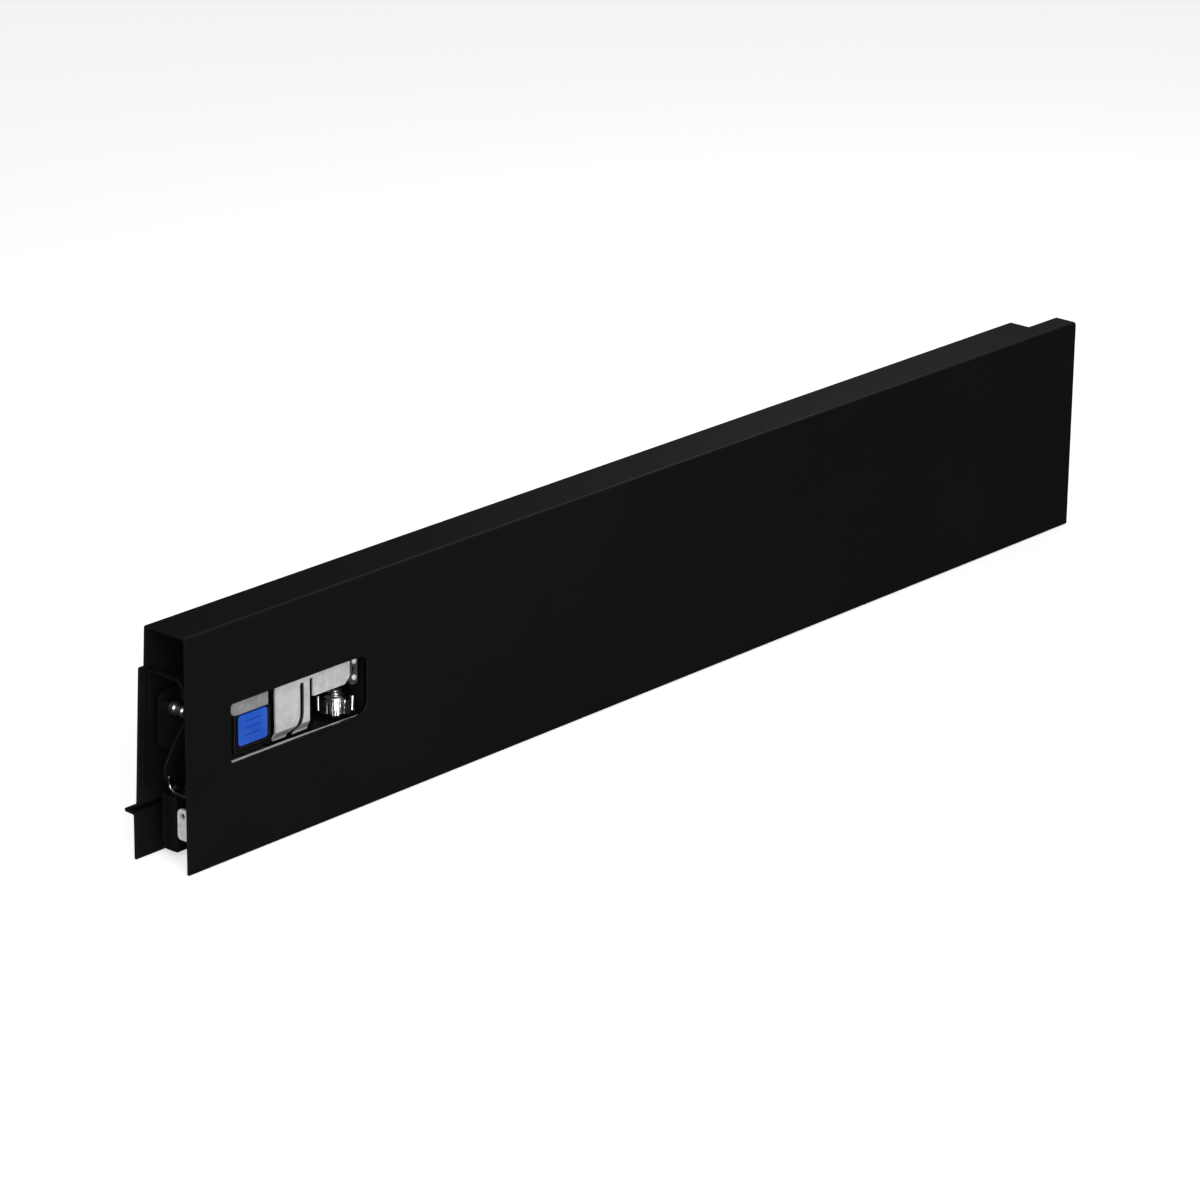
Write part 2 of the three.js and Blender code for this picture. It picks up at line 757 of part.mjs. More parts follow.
// The button with grip ribs, and the stem that reaches the lever through the frame's back wall.
const buttonMiddle = { x: (button.front + button.rear) / 2, z: (button.bottom + button.top) / 2 };
const stemEnd = 13;

function releaseButton() {
  const { front, rear, bottom, top, near, depth, stem } = button;
  const face = roundedRectangle(front, rear, bottom, top, [1.3, 1.3, 1.3, 1.3]);
  const ribHeight = 0.35;
  const ribs = [-2.6, 0, 2.6].map((shift) =>
    box(front + 3, rear - 3, near - ribHeight, near + 0.5, middleZ(shift) - 0.45, middleZ(shift) + 0.45),
  );
  const post = rodAlongY(stem, near + depth - 0.5, stemEnd, buttonMiddle.x, buttonMiddle.z, 16);
  return join(alongY(face, near, near + depth), post, ...ribs);
}

function middleZ(shift) {
  return buttonMiddle.z + shift;
}

const frame = { near: 1.7, backNear: 9.8, back: 11, wall: 2.2 };

function buttonFrame() {
  const { front, rear, bottom, top } = button;
  const { near, backNear, back, wall } = frame;
  const clear = 0.4;
  const body = roundedRectangle(front - wall, rear + 1.2, bottom - wall, top + wall, [1.5, 1, 1, 1.5]);
  const well = box(front - clear, rear + clear, near - 1, backNear, bottom - clear, top + clear);
  const headroom = box(front - wall - 1, rear + 3, near - 1, 3.1, top + clear, top + wall + 1);
  const stemHole = rodAlongY(button.stem + FIT, near, back + 1, buttonMiddle.x, buttonMiddle.z, 16);
  return cut(alongY(body, near, back), well, headroom, stemHole);
}

function buttonSpring() {
  const start = button.near + button.depth + GAP;
  const end = frame.backNear - GAP;
  return coilAlongY(button.stem + 0.8, 0.25, 2.5, start, end, buttonMiddle.x, buttonMiddle.z);
}

function catchSpring() {
  return coilAlongY(3.9, 0.35, 4, 10.6, lever.near - GAP, leverPivot.x, leverPivot.z);
}

// The grey plate over the button, with a rounded front lower corner.
function retainerPlate() {
  const outline = roundedRectangle(22.4, button.rear + 0.2, button.top + 0.7, 60, [3, 0.4, 0.4, 1]);
  return alongY(outline, 1.7, 2.8);
}

// The grey upright at the rear of the window, with a slot between two small rivets.
const guide = { front: 82, rear: 85.4, near: 3, far: 4.2, bottom: 46.4, top: 63.6 };
const guideRivets = [
  { name: "guide_rivet_upper", x: 83.5, z: 55.2 },
  { name: "guide_rivet_lower", x: 83.5, z: 49.1 },
];

function guideBar() {
  const { front, rear, near, far, bottom, top } = guide;
  const upright = roundedRectangle(front, rear, bottom, top, [1, 1, 0.3, 0.3]);
  const arm = box(front, rear, near + 0.5, bracket.back - GAP, top - 1.2, top);
  const slot = roundedRectangle(82.7, 84.5, 50.6, 53.5, [0.8, 0.8, 0.8, 0.8]);
  const holes = guideRivets.map(({ x, z }) => rodAlongY(0.8 + FIT, near - 1, far + 1, x, z, 12));
  return cut(join(alongY(upright, near, far), arm), alongY(slot, near - 1, far + 1), ...holes);
}

function guideRivet({ x, z }) {
  const { near, far } = guide;
  const profile = [
    [0, near - 0.9],
    [0.8, near - 0.75],
    [1.1, near - GAP],
    [0.8, near - GAP],
    [0.8, far],
    [0, far],
  ];
  return turnedAlongY(profile, x, z, 12);
}

// The black insert inside the front end: an arch from the inner wall over to the outer wall.
function frontHousing() {
  const wall = 1;
  const top = 71.2;
  const near = 1.6;
  const bend = 5;
  const legEnd = 64.5;
  const reach = GAP + side.sheet;
  const bottom = 27.5;
  const far = (z) => innerWallAt(z) - reach;
  const section = polygon([
    [far(bottom), bottom],
    [far(top), top],
    ...arc(near + bend, top - bend, bend, 90, 180, 6),
    [near, legEnd],
    [near + wall, legEnd],
    ...arc(near + bend, top - bend, bend - wall, 180, 90, 6),
    [far(top) - wall, top - wall],
    [far(bottom) - wall, bottom],
  ]);
  return alongX(section, 0.4, 3);
}

// ---- The assembly -------------------------------------------------------------------------

function addPart(group, name, geometry, finish, position = [0, 0, 0]) {
  const mesh = new THREE.Mesh(geometry, material(finish));
  mesh.name = name;
  mesh.position.set(...position);
  group.add(mesh);
}

function addBalls(group, prefix, cageFront, upper) {
  const geometry = new THREE.SphereGeometry(ball.radius, 10, 8);
  const rowNames = ["near", "far"];
  const stationNames = ["front", "rear"];
  const levels = [
    { name: "under", z: underHead },
    { name: "over", z: overHead },
  ];
  for (const level of levels) {
    const z = upper ? rail.height - level.z : level.z;
    rowSides.forEach((y, row) =>
      ballStations.forEach((x, station) => {
        const name = `${prefix}_ball_${level.name}_${rowNames[row]}_${stationNames[station]}`;
        addPart(group, name, geometry, "steel", [cageFront + x, y, z]);
      }),
    );
  }
}

function buildRunner() {
  const runner = new THREE.Group();
  addPart(runner, "cabinet_rail", cabinetRailGeometry(), "zinc");
  addPart(runner, "cabinet_rear_stop", cabinetRearStop(), "blackPlastic");
  addPart(runner, "middle_rail", middleRailGeometry(), "zinc");
  const buffer = middleRailBuffer();
  const bufferLength = 4;
  addPart(runner, "middle_rail_front_buffer", buffer, "blackPlastic", [
    middleRail.front - GAP - bufferLength,
    0,
    0,
  ]);
  addPart(runner, "middle_rail_rear_buffer", buffer, "blackPlastic", [middleRail.rear + GAP, 0, 0]);
  addPart(runner, "lower_ball_cage", ballCage(false), "whitePlastic", [lowerCageFront, 0, 0]);
  addPart(runner, "upper_ball_cage", ballCage(true), "whitePlastic", [upperCageFront, 0, 0]);
  addBalls(runner, "lower", lowerCageFront, false);
  addBalls(runner, "upper", upperCageFront, true);
  addPart(runner, "drawer_rail", drawerRailGeometry(), "zinc");
  addPart(runner, "runner_front_block", runnerFrontBlock(), "blackPlastic");
  addPart(runner, "front_catch_plate", frontCatchPlate(), "zinc");
  for (const rivet of catchPlateRivets) {
    addPart(runner, rivet.name, catchPlateRivet(rivet), "steel");
  }
  return runner;
}

function buildFrontFixing() {
  const fixing = new THREE.Group();
  addPart(fixing, "front_housing", frontHousing(), "blackPlastic");
  addPart(fixing, "fixing_plate", fixingPlate(), "blackPaint");
  addPart(fixing, "fixing_tray", fixingTray(), "zinc");
  addPart(fixing, "guide_bar", guideBar(), "darkZinc");
  for (const rivet of guideRivets) {
    addPart(fixing, rivet.name, guideRivet(rivet), "steel");
  }
  addPart(fixing, "button_frame", buttonFrame(), "blackPlastic");
  addPart(fixing, "retainer_plate", retainerPlate(), "darkZinc");
  addPart(fixing, "release_button", releaseButton(), "bluePlastic");
  addPart(fixing, "button_spring", buttonSpring(), "steel");
  addPart(fixing, "adjuster_wheel", adjusterWheel(), "steel");
  addPart(fixing, "adjuster_spindle", adjusterSpindle(), "steel");
  addPart(fixing, "wheel_cradle", wheelCradle(), "blackPlastic");
  addPart(fixing, "height_carriage", heightCarriage(), "zinc");
  addPart(fixing, "catch_carrier", catchCarrier(), "blackPaint");
  for (const rivet of carrierRivets) {
    addPart(fixing, rivet.name, carrierRivet(rivet), "darkZinc");
  }
  addPart(fixing, "spindle_nut", spindleNut(), "zinc");
  addPart(fixing, "upper_catch_pin", upperCatchPin(), "steel");
  addPart(fixing, "lever_pivot_pin", leverPivotPin(), "steel");
  addPart(fixing, "catch_lever", catchLever(), "blackPaint");
  addPart(fixing, "catch_hook", catchHook(), "steel");
  addPart(fixing, "catch_spring", catchSpring(), "steel");
  return fixing;
}

function buildSide() {
  const drawerSide = new THREE.Group();
  addPart(drawerSide, "side_profile", sideProfile(), "blackPaint");
  addPart(drawerSide, "rear_bracket", rearBracket(), "zinc");
  for (const rivet of rearRivets) {
    addPart(drawerSide, rivet.name, rearRivet(rivet), "darkZinc");
  }
  saddle.fronts.forEach((front, i) => {
    addPart(drawerSide, ["rail_saddle_front", "rail_saddle_rear"][i], railSaddle(), "zinc", [front, 0, 0]);
  });
  return drawerSide;
}

const assembly = new THREE.Group();
assembly.position.set(-(side.length - side.frontLip) / 2, -ledge.tip / 2, 0);
assembly.add(buildRunner(), buildFrontFixing(), buildSide());

export default assembly;
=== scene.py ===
"""A black double-walled drawer side on its concealed runner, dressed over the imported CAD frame.

Every shape below is drawn in millimetres in the part's own working frame: x from the outer wall's
front edge to the rear, y from the outer wall towards the inside of the drawer, z up. to_frame()
takes it to the row frame in metres.
"""

import json
import math

import bmesh
import bpy
from mathutils import Matrix, Vector


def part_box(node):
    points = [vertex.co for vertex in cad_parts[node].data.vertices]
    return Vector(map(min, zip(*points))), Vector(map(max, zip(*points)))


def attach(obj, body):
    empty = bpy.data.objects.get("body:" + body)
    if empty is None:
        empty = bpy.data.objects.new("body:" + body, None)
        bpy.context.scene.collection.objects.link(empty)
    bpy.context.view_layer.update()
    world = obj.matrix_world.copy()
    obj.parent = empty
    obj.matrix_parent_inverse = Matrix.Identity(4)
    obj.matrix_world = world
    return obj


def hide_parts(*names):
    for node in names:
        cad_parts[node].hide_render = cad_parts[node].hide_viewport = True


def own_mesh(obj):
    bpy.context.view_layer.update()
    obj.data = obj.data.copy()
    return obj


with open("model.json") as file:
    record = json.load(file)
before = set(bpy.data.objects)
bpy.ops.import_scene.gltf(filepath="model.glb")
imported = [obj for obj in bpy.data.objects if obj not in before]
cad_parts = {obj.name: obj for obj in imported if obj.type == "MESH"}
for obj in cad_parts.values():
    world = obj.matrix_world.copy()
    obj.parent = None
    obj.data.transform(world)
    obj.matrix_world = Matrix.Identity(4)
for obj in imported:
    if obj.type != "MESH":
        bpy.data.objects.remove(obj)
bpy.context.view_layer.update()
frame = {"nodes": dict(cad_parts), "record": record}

MM = 0.001
FRONT_LIP = 2.5  # how far the inner wall reaches past the outer wall's front edge
side_low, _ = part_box("side_profile")
ORIGIN = Vector((side_low.x + FRONT_LIP * MM, side_low.y, 0.0))
TO_FRAME = Matrix.Translation(ORIGIN) @ Matrix.Scale(MM, 4)


def to_frame(x, y, z):
    """A point given in the working frame's millimetres, in the row frame."""
    return TO_FRAME @ Vector((x, y, z))


# ---- Camera -------------------------------------------------------------------------------

VIEW = {
    "azimuth": -48.645,
    "elevation": 20.258,
    "roll": 0.744,
    "distance": 1.8415,
    "lens": 148.49,
    "target": (-0.0225, 0.0, 0.0368),
}


def add_camera():
    """The scene's camera, looking at VIEW's target from its azimuth, elevation and distance."""
    a, e, r = (math.radians(VIEW[k]) for k in ("azimuth", "elevation", "roll"))
    back = Vector((math.sin(a) * math.cos(e), -math.cos(a) * math.cos(e), math.sin(e)))
    right = (-back).cross(Vector((0, 0, 1))).normalized()
    up = right.cross(-back)
    rolled_right = math.cos(r) * right + math.sin(r) * up
    rolled_up = -math.sin(r) * right + math.cos(r) * up
    data = bpy.data.cameras.new("camera")
    data.lens = VIEW["lens"]
    data.sensor_width = 36.0
    data.clip_start, data.clip_end = 0.1, 60.0
    camera = bpy.data.objects.new("camera", data)
    turn = Matrix((rolled_right, rolled_up, back)).transposed().to_4x4()
    place = Vector(VIEW["target"]) + back * VIEW["distance"]
    camera.matrix_world = Matrix.Translation(place) @ turn
    bpy.context.scene.collection.objects.link(camera)
    bpy.context.scene.camera = camera


add_camera()

# ---- Studio -------------------------------------------------------------------------------


def add_softbox(name, towards, distance, size, power, aim=(0, 0, 0.04)):
    """An area light in the direction towards from aim, facing it."""
    data = bpy.data.lights.new(name, "AREA")
    data.shape = "RECTANGLE"
    data.size, data.size_y = size
    data.energy = power
    light = bpy.data.objects.new(name, data)
    direction = Vector(towards).normalized()
    light.location = Vector(aim) + direction * distance
    light.rotation_mode = "QUATERNION"
    light.rotation_quaternion = direction.to_track_quat("Z", "Y")
    bpy.context.scene.collection.objects.link(light)


CEILING_START, ROOM_GLOW, CEILING_GLOW, BACKDROP_GLOW = 0.7, 0.015, 0.85, 0.9


def add_world():
    """A dark room under a bright ceiling, as a gradient towards straight up, on a pale backdrop."""
    world = bpy.data.worlds.new("studio")
    world.use_nodes = True
    tree = world.node_tree
    background = tree.nodes["Background"]
    background.inputs["Color"].default_value = (0.95, 0.965, 1.0, 1.0)
    direction = tree.nodes.new("ShaderNodeTexCoord")
    split = tree.nodes.new("ShaderNodeSeparateXYZ")
    ramp = tree.nodes.new("ShaderNodeMapRange")
    ramp.inputs["From Min"].default_value = CEILING_START
    ramp.inputs["To Min"].default_value = ROOM_GLOW
    ramp.inputs["To Max"].default_value = CEILING_GLOW
    path = tree.nodes.new("ShaderNodeLightPath")
    pick = tree.nodes.new("ShaderNodeMix")
    pick.inputs["B"].default_value = BACKDROP_GLOW
    tree.links.new(direction.outputs["Generated"], split.inputs["Vector"])
    tree.links.new(split.outputs["Z"], ramp.inputs["Value"])
    tree.links.new(ramp.outputs["Result"], pick.inputs["A"])
    tree.links.new(path.outputs["Is Camera Ray"], pick.inputs["Factor"])
    tree.links.new(pick.outputs["Result"], background.inputs["Strength"])
    bpy.context.scene.world = world


def add_floor():
    """A matt white floor that glows a little, so that the contact shadows stay light."""
    floor_mesh = bpy.data.meshes.new("floor")
    reach = 14.0
    corners = [(-reach, -reach, 0), (reach, -reach, 0), (reach, reach, 0), (-reach, reach, 0)]
    floor_mesh.from_pydata(corners, [], [(0, 1, 2, 3)])
    floor = bpy.data.objects.new("floor", floor_mesh)
    bpy.context.scene.collection.objects.link(floor)
    paint = bpy.data.materials.new("pale_floor")
    paint.use_nodes = True
    shader = paint.node_tree.nodes["Principled BSDF"]
    shader.inputs["Base Color"].default_value = (0.93, 0.93, 0.93, 1)
    shader.inputs["Roughness"].default_value = 0.9
    shader.inputs["Specular IOR Level"].default_value = 0.0
    shader.inputs["Emission Color"].default_value = (1, 1, 1, 1)
    shader.inputs["Emission Strength"].default_value = 0.6
    floor_mesh.materials.append(paint)
    floor.visible_glossy = False


bpy.context.scene.view_settings.view_transform = "Standard"
add_world()
add_softbox("key", (-0.55, -0.75, 0.45), 1.6, (1.2, 0.9), 18)
add_softbox("rear_top", (0.3, 0.25, 0.6), 0.55, (0.3, 0.3), 0.55, aim=(0.27, 0, 0.087))
add_softbox("front_fill", (-0.9, -0.25, 0.35), 1.5, (0.5, 0.5), 3)
add_floor()

# ---- Materials ----------------------------------------------------------------------------


class Look:
    """A procedural material built round one Principled shader, on the piece's own coordinates."""

    def __init__(self, name, **sockets):
        self.material = bpy.data.materials.new(name)
        self.material.use_nodes = True
        self.tree = self.material.node_tree
        self.shader = self.tree.nodes["Principled BSDF"]
        for socket, value in sockets.items():
            self.shader.inputs[socket.replace("_", " ")].default_value = value
        self.place = self.node("ShaderNodeTexCoord").outputs["Object"]

    def node(self, kind, **settings):
        made = self.tree.nodes.new(kind)
        for key, value in settings.items():
            setattr(made, key, value)
        return made

    def link(self, source, target):
        self.tree.links.new(source, target)

    def stretched(self, x, y, z):
        """The piece's coordinates, each axis scaled to so many features per metre."""
        mapping = self.node("ShaderNodeMapping")
        mapping.inputs["Scale"].default_value = (x, y, z)
        self.link(self.place, mapping.inputs["Vector"])
        return mapping.outputs["Vector"]

    def noise(self, scale, detail=2.0, roughness=0.5, vector=None):
        made = self.node("ShaderNodeTexNoise")
        made.inputs["Scale"].default_value = scale
        made.inputs["Detail"].default_value = detail
        made.inputs["Roughness"].default_value = roughness
        self.link(vector or self.place, made.inputs["Vector"])
        return made.outputs["Fac"]

    def cells(self, scale):
        made = self.node("ShaderNodeTexVoronoi")
        made.inputs["Scale"].default_value = scale
        self.link(self.place, made.inputs["Vector"])
        return made.outputs["Color"]

    def spread(self, source, low, high, start=0.3, end=0.7):
        """source, from start to end, mapped to low to high."""
        made = self.node("ShaderNodeMapRange")
        limits = {"From Min": start, "From Max": end, "To Min": low, "To Max": high}
        for socket, value in limits.items():
            made.inputs[socket].default_value = value
        self.link(source, made.inputs["Value"])
        return made.outputs["Result"]

    def blend(self, share, dark, light):
        made = self.node("ShaderNodeMix", data_type="RGBA")
        made.inputs["A"].default_value = (*dark, 1)
        made.inputs["B"].default_value = (*light, 1)
        self.link(share, made.inputs["Factor"])
        return made.outputs["Result"]

    def sum(self, first, second, share=0.5):
        made = self.node("ShaderNodeMix", data_type="FLOAT")
        made.inputs["Factor"].default_value = share
        self.link(first, made.inputs["A"])
        self.link(second, made.inputs["B"])
        return made.outputs["Result"]

    def bump(self, height, depth, strength=1.0):
        made = self.node("ShaderNodeBump")
        made.inputs["Strength"].default_value = strength
        made.inputs["Distance"].default_value = depth
        self.link(height, made.inputs["Height"])
        self.link(made.outputs["Normal"], self.shader.inputs["Normal"])

    def colour(self, source):
        self.link(source, self.shader.inputs["Base Color"])

    def roughness(self, source):
        self.link(source, self.shader.inputs["Roughness"])


def powder_coat(name, dark, light, rough_low, rough_high, depth):
    """Fine-textured black paint: small grains, with a slow drift in tone and gloss."""
    look = Look(name, Specular_IOR_Level=0.22)
    grain = look.noise(2600, detail=3)
    peel = look.noise(700, detail=2)
    drift = look.noise(18, detail=3)
    look.colour(look.blend(look.sum(grain, drift), dark, light))
    look.roughness(look.spread(look.sum(drift, peel), rough_low, rough_high))
    look.bump(look.sum(grain, peel, 0.4), depth, 0.6)
    return look.material


def zinc(name, dark, light, metallic, rough_low, rough_high):
    """Zinc-plated sheet: rolling lines along x, soft mottling and a faint spangle."""
    look = Look(name, Metallic=metallic)
    rolling = look.noise(1.0, detail=4, roughness=0.7, vector=look.stretched(60, 1800, 1800))
    mottle = look.noise(160, detail=4, roughness=0.6)
    spangle = look.spread(look.cells(420), 0.0, 1.0, 0.0, 1.0)
    tone = look.sum(look.sum(rolling, mottle), spangle, 0.3)
    look.colour(look.blend(look.spread(tone, 0, 1), dark, light))
    look.roughness(look.spread(look.sum(rolling, spangle, 0.4), rough_low, rough_high))
    look.bump(look.sum(rolling, mottle, 0.3), 0.00002, 0.5)
    return look.material


def steel(name, dark, light, rough_low, rough_high):
    """Bright turned or plated steel, with hair scratches."""
    look = Look(name, Metallic=1.0)
    scratches = look.noise(1.0, detail=5, roughness=0.8, vector=look.stretched(900, 2600, 900))
    cloud = look.noise(300, detail=3)
    look.colour(look.blend(look.sum(scratches, cloud), dark, light))
    look.roughness(look.spread(look.sum(scratches, cloud), rough_low, rough_high))
    look.bump(scratches, 0.000008, 0.4)
    return look.material


def moulded(name, dark, light, rough_low, rough_high, specular):
    """Moulded plastic with a spark-eroded grain."""
    look = Look(name, Specular_IOR_Level=specular)
    grain = look.noise(2200, detail=2)
    drift = look.noise(90, detail=3)
    look.colour(look.blend(look.spread(look.sum(grain, drift), 0, 1), dark, light))
    look.roughness(look.spread(look.sum(grain, drift), rough_low, rough_high))
    look.bump(grain, 0.00003, 0.5)
    return look.material


LOOKS = {
    "powder_coat": powder_coat("powder_coat", (0.0036,) * 3, (0.0058,) * 3, 0.42, 0.56, 0.00004),
    # coat_edge_highlight: a lighter, glossier coat on the rims, partly thin paint over the sheared
    # edges and partly a painted highlight along the folds
    "coat_edge_highlight": powder_coat("coat_edge_highlight", (0.007,) * 3, (0.012,) * 3, 0.3, 0.42, 0.00002),
    "zinc": zinc("zinc", (0.55, 0.56, 0.57), (0.74, 0.745, 0.75), 0.35, 0.3, 0.45),
    "dark_zinc": zinc("dark_zinc", (0.27, 0.27, 0.275), (0.38, 0.38, 0.385), 0.4, 0.34, 0.48),
    # highlight_zinc: a lighter zinc as a painted highlight: on the carriage's rims it paints the bright
    # edges round the slot, on the catch plate it stands in for the plate's bright reflections
    "highlight_zinc": zinc("highlight_zinc", (0.74, 0.745, 0.75), (0.9, 0.905, 0.91), 0.35, 0.26, 0.4),
    # darkened_zinc: a very dark zinc; on the tray's floor and on the walls of the carriage's slot it is
    # painted shade
    "darkened_zinc": zinc("darkened_zinc", (0.06, 0.06, 0.062), (0.105, 0.105, 0.107), 0.4, 0.34, 0.46),
    # fold_shade_zinc: a darker zinc, painted shade on the underside of the carriage's folded foot
    "fold_shade_zinc": zinc("fold_shade_zinc", (0.26, 0.26, 0.262), (0.4, 0.4, 0.403), 0.5, 0.3, 0.42),
    "bright_steel": steel("bright_steel", (0.7, 0.71, 0.72), (0.92, 0.925, 0.93), 0.06, 0.16),
    "satin_steel": steel("satin_steel", (0.62, 0.63, 0.64), (0.84, 0.845, 0.85), 0.26, 0.4),
    "black_plastic": moulded("black_plastic", (0.0025,) * 3, (0.005,) * 3, 0.42, 0.56, 0.15),
    # frame_rim_highlight: a lighter brownish plastic, a painted highlight along the button frame's rims
    "frame_rim_highlight": moulded("frame_rim_highlight", (0.1, 0.09, 0.075), (0.18, 0.165, 0.14), 0.4, 0.5, 0.2),
    "blue_plastic": moulded("blue_plastic", (0.006, 0.055, 0.36), (0.014, 0.095, 0.52), 0.3, 0.42, 0.3),
    "cage_plastic": moulded("cage_plastic", (0.62, 0.61, 0.56), (0.74, 0.73, 0.69), 0.4, 0.5, 0.4),
}

# ---- Shapes, drawn in millimetres in the working frame --------------------------------------

PLACES = {
    "x": lambda a, b, t: (t, a, b),
    "y": lambda a, b, t: (a, t, b),
    "z": lambda a, b, t: (a, b, t),
}


def arc(a, b, radius, start, end, steps=8):
    """Points of an arc about (a, b), from one angle to another in degrees."""
    angles = [math.radians(start + (end - start) * i / steps) for i in range(steps + 1)]
    return [(a + radius * math.cos(t), b + radius * math.sin(t)) for t in angles]


def circle(a, b, radius, sides=40):
    return arc(a, b, radius, 0, 360, sides)[:-1]


def rounded(corners, radius=0.0, steps=6):
    """A closed outline with its corners rounded. A corner is (a, b), or (a, b, its own radius)."""
    out = []
    for i, corner in enumerate(corners):
        here = Vector(corner[:2])
        before = (Vector(corners[i - 1][:2]) - here).normalized()
        after = (Vector(corners[(i + 1) % len(corners)][:2]) - here).normalized()
        own = corner[2] if len(corner) == 3 else radius
        if own <= 0:
            out.append(tuple(here))
            continue
        half = before.angle(after) / 2
        centre = here + (before + after).normalized() * (own / math.sin(half))
        spokes = [here + side * (own / math.tan(half)) - centre for side in (before, after)]
        first, last = (math.atan2(spoke.y, spoke.x) for spoke in spokes)
        sweep = (last - first + math.pi) % (2 * math.pi) - math.pi
        count = max(2, math.ceil(steps * abs(sweep) / (math.pi / 2)))
        for k in range(count + 1):
            turn = first + sweep * k / count
            out.append((centre.x + own * math.cos(turn), centre.y + own * math.sin(turn)))
    return out


def rectangle(left, right, bottom, top, radii=0.0):
    """A rectangle with one radius, or four: left bottom, right bottom, right top, left top."""
    a, b, c, d = radii if isinstance(radii, tuple) else (radii,) * 4
    return rounded([(left, bottom, a), (right, bottom, b), (right, top, c), (left, top, d)])


def finished(shape):
    """A bmesh made into a mesh, with its doubled points merged and its faces turned outwards."""
    bmesh.ops.remove_doubles(shape, verts=shape.verts, dist=1e-5)
    bmesh.ops.recalc_face_normals(shape, faces=shape.faces)
    mesh = bpy.data.meshes.new("shape")
    shape.to_mesh(mesh)
    shape.free()
    return mesh


def prism(outline, axis, start, end):
    """An outline drawn across an axis, in the order (y, z), (x, z) or (x, y), extruded along it."""
    shape = bmesh.new()
    rings = [[shape.verts.new(PLACES[axis](a, b, t)) for a, b in outline] for t in (start, end)]
    for ring in rings:
        shape.faces.new(ring)
    for i in range(len(outline)):
        shape.faces.new((rings[0][i - 1], rings[0][i], rings[1][i], rings[1][i - 1]))
    return finished(shape)


def block(x0, x1, y0, y1, z0, z1):
    """A plain box."""
    return prism(rectangle(x0, x1, y0, y1), "z", z0, z1)


def rod(axis, a, b, radius, start, end, sides=40):
    return prism(circle(a, b, radius, sides), axis, start, end)


def lathe(profile, axis, a, b, sides=56):
    """A turned piece about an axis through (a, b). profile is [(radius, distance along the axis)]."""
    shape = bmesh.new()
    rings = [
        [shape.verts.new(PLACES[axis](p, q, t)) for p, q in circle(a, b, max(radius, 1e-7), sides)]
        for radius, t in profile
    ]
    for low, high in zip(rings, rings[1:]):
        for i in range(sides):
            shape.faces.new((low[i - 1], low[i], high[i], high[i - 1]))
    return finished(shape)


def eased(profile, radius, steps=4):
    """An open profile with its inner corners rounded."""
    loop = [(p[0], p[1], p[2] if len(p) == 3 else radius) for p in profile]
    loop[0] = (*loop[0][:2], 0)
    loop[-1] = (*loop[-1][:2], 0)
    return rounded(loop, steps=steps)


def tube(path, radius, sides=14):
    """A round wire along a path of points, with closed ends."""
    shape = bmesh.new()
    points = [Vector(p) for p in path]
    last = len(points) - 1
    along = [(points[min(i + 1, last)] - points[max(i - 1, 0)]).normalized() for i in range(last + 1)]
    across = along[0].orthogonal().normalized()
    rings = []
    for point, forward in zip(points, along):
        across = (across - forward * across.dot(forward)).normalized()
        beside = forward.cross(across)
        spokes = [across * u + beside * v for u, v in circle(0, 0, radius, sides)]
        rings.append([shape.verts.new(point + spoke) for spoke in spokes])
    for low, high in zip(rings, rings[1:]):
        for i in range(sides):
            shape.faces.new((low[i - 1], low[i], high[i], high[i - 1]))
    shape.faces.new(rings[0])
    shape.faces.new(rings[-1])
    return finished(shape)


COIL_STEPS = 28  # points along each turn of a spring


def coil(radius, wire, turns, start, end, x, z):
    """A coil spring on an axis along y."""
    steps = int(turns * COIL_STEPS)
    path = []
    for i in range(steps + 1):
        turn = 2 * math.pi * turns * i / steps
        y = start + wire + (end - start - 2 * wire) * i / steps
        path.append((x + radius * math.cos(turn), y, z + radius * math.sin(turn)))
    return tube(path, wire)


BALL_STEPS = 16  # rings from a ball's bottom to its top


def ball_at(x, y, z, radius):
    """A ball, turned about its upright axis."""
    angles = [math.pi * i / BALL_STEPS for i in range(BALL_STEPS + 1)]
    profile = [(radius * math.sin(t), z - radius * math.cos(t)) for t in angles]
    return lathe(profile, "z", x, y, 28)


def together(meshes):
    """Several meshes as one, without joining their surfaces."""
    shape = bmesh.new()
    for mesh in meshes:
        shape.from_mesh(mesh)
        bpy.data.meshes.remove(mesh)
    joined = bpy.data.meshes.new("shape")
    shape.to_mesh(joined)
    shape.free()
    return joined


def solid_sum(operation, base, tools):
    """base with each tool cut from it or joined to it, as a new mesh. The tools are used up."""
    scene = bpy.context.scene
    body = bpy.data.objects.new("base", base)
    scene.collection.objects.link(body)
    helpers = []
    for tool in tools:
        helper = bpy.data.objects.new("tool", tool)
        scene.collection.objects.link(helper)
        step = body.modifiers.new("step", "BOOLEAN")
        step.operation, step.solver, step.object = operation, "EXACT", helper
        helpers.append(helper)
    view = bpy.context.evaluated_depsgraph_get()
    result = bpy.data.meshes.new_from_object(body.evaluated_get(view))
    for spent in (body, *helpers):
        data = spent.data
        bpy.data.objects.remove(spent)
        bpy.data.meshes.remove(data)
    return result


def cut(base, *tools):
    return solid_sum("DIFFERENCE", base, tools)


def join(base, *more):
    return solid_sum("UNION", base, more)


def from_cad(node):
    """A CAD node's own shape with its triangles merged back into faces, in the working frame."""
    shape = bmesh.new()
    shape.from_mesh(frame["nodes"][node].data)
    bmesh.ops.transform(shape, matrix=TO_FRAME.inverted(), verts=shape.verts)
    bmesh.ops.remove_doubles(shape, verts=shape.verts, dist=1e-3)
    bmesh.ops.dissolve_limit(
        shape, angle_limit=math.radians(1), verts=shape.verts, edges=shape.edges
    )
    return finished(shape)


